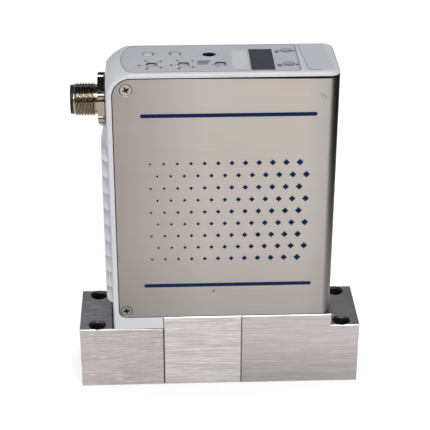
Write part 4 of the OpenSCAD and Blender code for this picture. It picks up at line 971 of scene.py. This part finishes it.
def rimShade(look):
    # width at a run from the front's middle: thin, growing evenly to bold over shadeOver from shadeFrom
    run = np.linspace(look["shadeEnds"], 2 * halfWay - look["shadeEnds"], 300)
    fromFront = np.minimum(run, 2 * halfWay - run)
    growth = np.clip((fromFront - look["shadeFrom"]) / look["shadeOver"], 0, 1)
    width = look["thin"] + (look["bold"] - look["thin"]) * growth
    path = np.column_stack([run, coverShape["high"] + look["overRim"] - width / 2])
    return strip(path, width, onCover, look["film"], -look["film"])


edge = coverEdge(coverShape, seamShape["gap"])
seamShadeStrip = strip(edge, seamShape["gap"], onCover, -seamShape["depth"], -seamShape["floor"])
addPiece("coverSeamShade", seamShadeStrip, "gapShade")
addPiece("rimShade", rimShade(seamShape), "gapShade")
print("cover edged")

# Wear: each scratch is its start, its end and its width, on the cover or, for the last list, on the blocks
wear = dict(
    dark=[[(-2.85, 40.5), (-1.95, 41.95), 0.42]],
    brown=[
        [(34.2, 119.2), (35.3, 118.6), 0.20], [(35.2, 118.7), (36.6, 117.4), 0.20],
        [(35.2, 118.5), (36.3, 118.9), 0.16],
    ],
    nicks=[[(-37.1, 56.4), (-36.6, 56.0), 0.35], [(-36.9, 54.2), (-36.5, 54.0), 0.30]],
    pale=[[(-8.0, 95.6), (-4.5, 95.3), 0.08], [(12.0, 60.3), (18.5, 60.9), 0.06]],
    tops=[
        [(-51.6, 5.2), (-47.4, 6.0), 0.16], [(-50.2, 1.6), (-45.0, 2.6), 0.20],
        [(-46.5, -0.8), (-42.6, 0.1), 0.14], [(-51.9, -2.9), (-48.8, -2.4), 0.18],
        [(-49.0, -5.4), (-44.0, -4.5), 0.20], [(-51.8, 10.9), (-50.0, 11.3), 0.14],
        [(-47.5, 3.9), (-44.6, 4.5), 0.10], [(-52.0, -8.0), (-50.3, -7.7), 0.12],
        [(43.0, 4.6), (46.2, 5.2), 0.10], [(47.6, -3.4), (51.2, -2.8), 0.12],
    ],
    # a sliver's width at a share of the way is its width times sin(pi (first + second share))
    taper=(0.08, 0.84),
    # upper and lower height over the sheet and over the blocks' tops
    onSheet=(0.012, -0.02),
    onBlocks=(0.012, -0.01),
)
blockTop = boxOf("inlet_block")[1][2]


def scratchPart(start, end, width, place, heights):
    share = np.linspace(0, 1, 9)
    path = np.outer(1 - share, start) + np.outer(share, end)
    first, second = wear["taper"]
    return strip(path, width * np.sin(np.pi * (first + second * share)), place, *heights)


for kind, finish in (("dark", "scratchAndShade"), ("brown", "scratchAndShade"), ("nicks", "scratchAndShade"), ("pale", "screws")):
    slivers = joined([scratchPart(*line, onCover, wear["onSheet"]) for line in wear[kind]])
    addPiece(kind + "Scratches", slivers, finish)
heights = [blockTop + height for height in wear["onBlocks"]]
slivers = joined([scratchPart(*line, onTop, heights) for line in wear["tops"]])
addPiece("topScratches", slivers, "brightSteel")
print("cover and blocks worn")

# Painted shade in the mounting holes, the joints between the blocks, and painted shade along the housing's
# foot
inletHigh, centreHigh = boxOf("inlet_block")[1], boxOf("center_block")[1]
blockLook = dict(
    holeX=46.0,
    holeY=10.9,
    bore=2.6,
    boreFrom=0.5,
    sinkDepth=0.75,
    countersink=3.3,
    skin=0.035,
    skinClear=0.003,
    # edges of the skin beyond the countersink and above the top: under side first, upper side second
    skinRim=((0.05, 0.005), (0.02, 0.03)),
    skinRise=0.05,
    # joints as place along the length, width, and height of the upper end
    jointFrom=0.4,
    leftJoint=(inletHigh[0], 0.26, inletHigh[2] - 0.2),
    rightJoint=(centreHigh[0], 0.10, centreHigh[2] - 0.4),
    # painted shade under the foot's front edge: where it starts, its length, its width there and its growth
    gapShadeLine=(-34, 12.7, 0.04, 0.22),
    gapShadeRise=0.06,
    film=(0.015, -0.05),
    footX=-39.7,
    footReach=13.9,
    footShade=0.75,
    footWave=(0.15, 2.3, 0.9, 1),
    footSpread=0.042,
    footFilm=(0.012, -0.01),
)


def holeShadeSkin(look, centre):
    # thin near-black skin over the bore and its countersink: painted shade in the hole
    under, over = look["bore"] - look["skinClear"], look["bore"] - look["skin"]
    low, high = look["boreFrom"], blockTop - look["sinkDepth"]
    rim = [(look["countersink"] + out, blockTop + up) for out, up in look["skinRim"]]
    profile = [(under, low), (under, high), *rim, (over, high + look["skinRise"]), (over, low)]
    return turned(profile, centre, 48)


def jointLine(look, x, width, height):
    # an upright line on the front and its twin behind
    z = np.linspace(look["jointFrom"], height, 20)
    return [strip(np.column_stack([np.full(len(z), side * x), z]), width, place, *look["film"])
            for side, place in ((1, onFront), (-1, onRear))]


def gapShadeLine(look):
    # a line of painted shade that widens evenly along the foot's lower edge, on the front and, mirrored, on
    # the rear
    start, length, width, growth = look["gapShadeLine"]
    share = np.linspace(0, 1, 12)
    path = np.column_stack([start + length * share, np.full(len(share), blockTop + look["gapShadeRise"])])
    width = width + growth * share
    return [strip(path, width, onFront, *look["film"]),
            strip(path[::-1] * (-1, 1), width[::-1], onRear, *look["film"])]


def footShade(look):
    # painted shadow on the inlet block along the foot of the housing: its width is footShade, made ragged by
    # wave (sin(first y) sin(second y + shift) - 1), plus footSpread for each millimetre from the front
    wave, first, second, shift = look["footWave"]
    y = np.linspace(-look["footReach"], look["footReach"], 90)
    width = look["footShade"] * (1 - wave + wave * np.sin(first * y) * np.sin(second * y + shift))
    width += look["footSpread"] * (y + look["footReach"])
    upper, lower = look["footFilm"]
    path = np.column_stack([look["footX"] - width / 2, y])
    return strip(path, width, onTop, blockTop + upper, blockTop + lower)


holes = [(sideX * blockLook["holeX"], sideY * blockLook["holeY"]) for sideX in (-1, 1) for sideY in (-1, 1)]
holeShades = joined([holeShadeSkin(blockLook, hole) for hole in holes])
addPiece("holeShadeSkins", holeShades, "darkSteel", sharp=25)
jointAndGapShade = joined(jointLine(blockLook, *blockLook["leftJoint"]) + gapShadeLine(blockLook))
addPiece("boltedJointAndGapShade", jointAndGapShade, "gapShade")
welded = joined(jointLine(blockLook, *blockLook["rightJoint"]))
addPiece("weldedJoint", welded, "darkSteel")
addPiece("footShade", footShade(blockLook), "darkSteel")
print("blocks marked")

# Print on the top overlay: outline, ticks and numbers of the dials; and painted shade along the overlay's
# right edge
top = boxOf("overlay")[1][2]
printShape = dict(
    lift=0.005,
    ink=0.02,
    leftRadius=27.0,
    easeRadius=3.0,
    cornerRadius=1.5,
    outlineInset=0.25,
    outlineWidth=0.18,
    edgeInset=0.30,
    edgeWidth=0.28,
    edgeReach=1.4,
    edgeRaised=0.01,
    tickInner=2.35,
    tickOuter=3.15,
    tickWidth=0.26,
    angles=(191, 119, 43, -40, -112),
    numbers="02468",
    numberRadius=4.25,
    numberSize=1.9575,
    boldness=0.05,
    weldWithin=0.0005,
)
inkLow = top + printShape["lift"]
inkHigh = inkLow + printShape["ink"]
dialPlaces = [np.array(joint["pos_m"][:2]) / mm for joint in frame["joints"] if joint["type"] == "hinge"]


def flat(path, width, closed=False, raised=0.0):
    return strip(path, width, onTop, inkHigh + raised, inkLow + raised, closed)


def ring(centre, radius, width):
    return flat(circlePath(centre, radius), width, True)


def towards(degrees):
    return np.array([math.cos(math.radians(degrees)), math.sin(math.radians(degrees))])


def overlayOutline(look, inset):
    # arc of the overlay's left end, eased corners, straight sides, small corners at the right
    low, high = boxOf("overlay")
    left, right, half = low[0] + inset, high[0] - inset, high[1] - inset
    radius, ease, corner = [look[name] - inset for name in ("leftRadius", "easeRadius", "cornerRadius")]
    easeX, easeY = left + radius - math.sqrt((radius - ease) ** 2 - (half - ease) ** 2), half - ease
    swing = math.asin(easeY / (radius - ease))
    cornerX, cornerY = right - corner, half - corner
    return np.concatenate([
        arcPath((left + radius, 0), radius, np.pi - swing, np.pi + swing, 40),
        arcPath((easeX, -easeY), ease, np.pi + swing, 1.5 * np.pi, 10)[1:],
        arcPath((cornerX, -cornerY), corner, -0.5 * np.pi, 0, 8),
        arcPath((cornerX, cornerY), corner, 0, 0.5 * np.pi, 8),
        arcPath((easeX, easeY), ease, 0.5 * np.pi, np.pi - swing, 10)[:-1],
    ])


def rightEdgeShade(look):
    # painted shade at the overlay's right edge: the part of the outline within edgeReach of its right end,
    # from front to rear
    outline = overlayOutline(look, look["edgeInset"])
    kept = outline[outline[:, 0] > outline[:, 0].max() - look["edgeReach"]]
    return flat(kept[np.argsort(kept[:, 1])], look["edgeWidth"], raised=look["edgeRaised"])


def dialTick(look, place, degrees):
    ends = [place + towards(degrees) * look[name] for name in ("tickInner", "tickOuter")]
    return flat(ends, look["tickWidth"])


def numberPart(look, text, degrees):
    # the number is made as text and turned into a mesh, and its points are then placed with numpy
    curve = bpy.data.curves.new("number", "FONT")
    curve.body = text
    curve.size = look["numberSize"]
    curve.extrude = look["ink"] / 2
    curve.offset = look["boldness"]
    curve.align_x = "CENTER"
    curve.align_y = "CENTER"
    curve.resolution_u = 2
    holder = bpy.data.objects.new("number", curve)
    scene.collection.objects.link(holder)
    bpy.context.view_layer.update()
    mesh = bpy.data.meshes.new_from_object(holder.evaluated_get(bpy.context.evaluated_depsgraph_get()))
    work = bmesh.new()
    work.from_mesh(mesh)
    bmesh.ops.remove_doubles(work, verts=work.verts, dist=look["weldWithin"])
    bmesh.ops.recalc_face_normals(work, faces=work.faces)
    work.to_mesh(mesh)
    work.free()
    points = np.empty(len(mesh.vertices) * 3)
    mesh.vertices.foreach_get("co", points)
    faces = [list(face.vertices) for face in mesh.polygons]
    bpy.data.objects.remove(holder)
    bpy.data.curves.remove(curve)
    bpy.data.meshes.remove(mesh)
    away = towards(degrees) * look["numberRadius"]
    return points.reshape(-1, 3) + (*away, (inkLow + inkHigh) / 2), faces


outline = overlayOutline(printShape, printShape["outlineInset"])
addPiece("overlayOutline", flat(outline, printShape["outlineWidth"], True), "greyInk")
addPiece("overlayEdgeShade", rightEdgeShade(printShape), "greyInk")
ticks = [dialTick(printShape, place, angle) for place in dialPlaces for angle in printShape["angles"]]
addPiece("dialTicks", joined(ticks), "darkInk")
numbers = [numberPart(printShape, *pair) for pair in zip(printShape["numbers"], printShape["angles"])]
numbers = [(points + (*place, 0), faces) for place in dialPlaces[:2] for points, faces in numbers]
addPiece("dialNumbers", joined(numbers), "darkInk")
print("overlay printed")

# Painted shade on the walls of the dials' wells and on the bottoms of their slots, and the rings round them
dialLook = dict(
    wellRadius=1.915,
    wellWall=0.035,
    wellDepth=0.45,
    wellBelow=0.05,
    slotWidth=0.56,
    slotLength=2.2,
    slotDepth=0.45,
    slotThickness=0.1,
    ringRadius=2.06,
    ringWidth=0.16,
)


def dialWellShade(look, place):
    outer, low, high = look["wellRadius"], top - look["wellDepth"], top - look["wellBelow"]
    inner = outer - look["wellWall"]
    return turned([(outer, low), (outer, high), (inner, high), (inner, low)], place)


def dialSlotShade(look, place):
    reach = (0, look["slotLength"] / 2)
    floor = boxOf("dial_high")[1][2] - look["slotDepth"]
    ends = [place - reach, place + reach]
    return strip(ends, look["slotWidth"], onTop, floor, floor - look["slotThickness"])


rings = [ring(place, dialLook["ringRadius"], dialLook["ringWidth"]) for place in dialPlaces]
wellShades = joined([dialWellShade(dialLook, place) for place in dialPlaces])
addPiece("dialWellShades", wellShades, "gapShade")
for name, place in zip(("dial_high", "dial_low", "dial_rate"), dialPlaces):
    addPiece(name + "SlotShade", dialSlotShade(dialLook, place), "gapShade", body=name)
print("dials shaded")

# Lamp lenses: low domes, and painted shade at their ends
lensLook = dict(
    radius=2.05,
    edgeHeight=126.95,
    crown=0.30,
    heart=0.05,
    flange=2.55,
    flangeTop=125.0,
    endShadeAt=1.70,
    endShadeWidth=0.34,
    endShadeLength=1.2,
    # the left lamp has painted shade at its right end, the right lamp at either end
    endShadeSides=((1,), (-1, 1)),
    endShadeHeights=(0.14, -0.2),
    ringRadius=2.2,
    ringWidth=0.16,
)


def lensDome(look, centre):
    # height at a radius: edge height plus crown times one less the square of its share of the dome's
    radii = np.linspace(look["radius"], look["heart"], 14)
    heights = look["edgeHeight"] + look["crown"] * (1 - (radii / look["radius"]) ** 2)
    profile = [(look["flange"], boxOf("lamp_lenses")[0][2]), (look["flange"], look["flangeTop"])]
    profile += [(look["radius"], look["flangeTop"])] + list(zip(radii, heights))
    return turned(profile, centre, 56, solid=True)


def lensEndShade(look, centre, side):
    # painted shade of the lens's recess at one end
    along = np.linspace(-0.5, 0.5, 7) * look["endShadeLength"]
    path = np.column_stack([np.full(len(along), centre[0] + side * look["endShadeAt"]), centre[1] + along])
    upper, lower = look["endShadeHeights"]
    return strip(path, look["endShadeWidth"], onTop, look["edgeHeight"] + upper, look["edgeHeight"] + lower)


low, high = boxOf("lamp_lenses")
lensY = middleOf("lamp_lenses")[1]
lensPlaces = [np.array([x, lensY]) for x in (low[0] + lensLook["flange"], high[0] - lensLook["flange"])]
domes = joined([lensDome(lensLook, place) for place in lensPlaces])
rightLamp = np.arange(len(domes[1])) >= len(domes[1]) // 2
addPiece("lensDomes", domes, "lensWarm", replaces=["lamp_lenses"], sharp=40,
         second=("lensGreen", rightLamp))
endShades = [lensEndShade(lensLook, place, side)
           for place, sides in zip(lensPlaces, lensLook["endShadeSides"]) for side in sides]
addPiece("lensEndShades", joined(endShades), "scratchAndShade")
rings += [ring(place, lensLook["ringRadius"], lensLook["ringWidth"]) for place in lensPlaces]

# Raised collar round the jack
collarShape = dict(
    inner=2.50,
    outer=3.02,
    crown=0.09,
    root=0.15,
    outerSlope=0.10,
    innerSlope=0.12,
    ringRadius=3.16,
    ringWidth=0.15,
)


def jackCollar(shape, centre):
    inner, outer, low, high = shape["inner"], shape["outer"], top - shape["root"], top + shape["crown"]
    profile = [(outer, low), (outer, top), (outer - shape["outerSlope"], high)]
    profile += [(inner + shape["innerSlope"], high), (inner, top), (inner, low)]
    return turned(profile, centre)


jack = middleOf("diagnostic_jack")
addPiece("jackCollar", jackCollar(collarShape, jack), "collar", sharp=50)
rings += [ring(jack, collarShape["ringRadius"], collarShape["ringWidth"])]

# Rings and marks at the buttons, and rows beside the third dial
markShape = dict(
    ringRadius=2.02,
    ringWidth=0.30,
    arrow=1.4,
    arrowAt=(2.3, -0.6),
    arrowTip=0.02,
    rowEnd=-2.5,
    rowLength=1.6,
    rowWidth=0.46,
    rowHeights=(-0.45, -1.2, -1.95),
    listStart=(-7.9, -2.7),
    listLength=4.7,
    listShorter=0.5,
    listStep=1.4,
    listWidth=0.68,
    listRows=3,
)


def buttonMarks(look, centre):
    # a triangle on the right, whose width falls evenly to its tip, and rows on the left
    share = np.linspace(0, 1, 6)
    x, y = centre + look["arrowAt"]
    arrow = np.column_stack([x + share * look["arrow"], np.full(len(share), y)])
    marks = [flat(arrow, look["arrow"] * (1 + look["arrowTip"] - share))]
    for height in look["rowHeights"]:
        ends = [centre + (look["rowEnd"] - look["rowLength"], height), centre + (look["rowEnd"], height)]
        marks.append(flat(ends, look["rowWidth"]))
    return joined(marks)


def listRow(look, number):
    x, y = look["listStart"]
    y -= look["listStep"] * number
    length = look["listLength"] - look["listShorter"] * number
    return flat([(x, y), (x + length, y)], look["listWidth"])


buttons = [middleOf(name) for name in ("button_back", "button_front")]
buttonRings = [ring(centre, markShape["ringRadius"], markShape["ringWidth"]) for centre in buttons]
addPiece("buttonRings", joined(buttonRings), "greyInk")
marks = joined([buttonMarks(markShape, centre) for centre in buttons])
addPiece("buttonMarks", marks, "darkInk")
addPiece("faceRings", joined(rings), "greyInk")
rows = [listRow(markShape, number) for number in range(markShape["listRows"])]
addPiece("rateRows", joined(rows), "darkInk")
print("controls marked")

# Strip of white tape, and the outline of the data label
tapeShape = dict(
    centre=(6.975, -2.0),
    width=5.45,
    half=8.55,
    thickness=0.05,
    lift=0.004,
    wave=0.012,
    waveRate=0.9,
    endLift=0.011,
    highest=127.295,
)
labelLine = dict(
    path=[
        (34.5, -12.3), (30.8, -12.0), (30.25, -11.2), (29.9, -8.5), (29.4, -0.8), (28.9, 6.0), (28.45, 12.0),
    ],
    width=0.17,
    film=(0.002, -0.12),
)


def tapeStrip(shape):
    # height over the overlay: a slow sine wave along the tape, plus endLift times the fourth power of the
    # share of the way to an end; its top stays below highest
    along = np.linspace(-shape["half"], shape["half"], 60)
    low = top + shape["lift"] + shape["wave"] * (1 + np.sin(shape["waveRate"] * along))
    low += shape["endLift"] * (along / shape["half"]) ** 4
    high = np.minimum(low + shape["thickness"], shape["highest"])
    x, y = shape["centre"]
    return strip(np.column_stack([np.full(len(along), x), y + along]), shape["width"], onTop, high, low)


addPiece("tapeStrip", tapeStrip(tapeShape), "tape", replaces=["tape_strip"])
labelHigh = boxOf("data_label")[1][2]
upper, lower = labelLine["film"]
line = strip(labelLine["path"], labelLine["width"], onTop, labelHigh + upper, labelHigh + lower)
addPiece("labelLine", line, "greyInk")
print("tape and label laid")
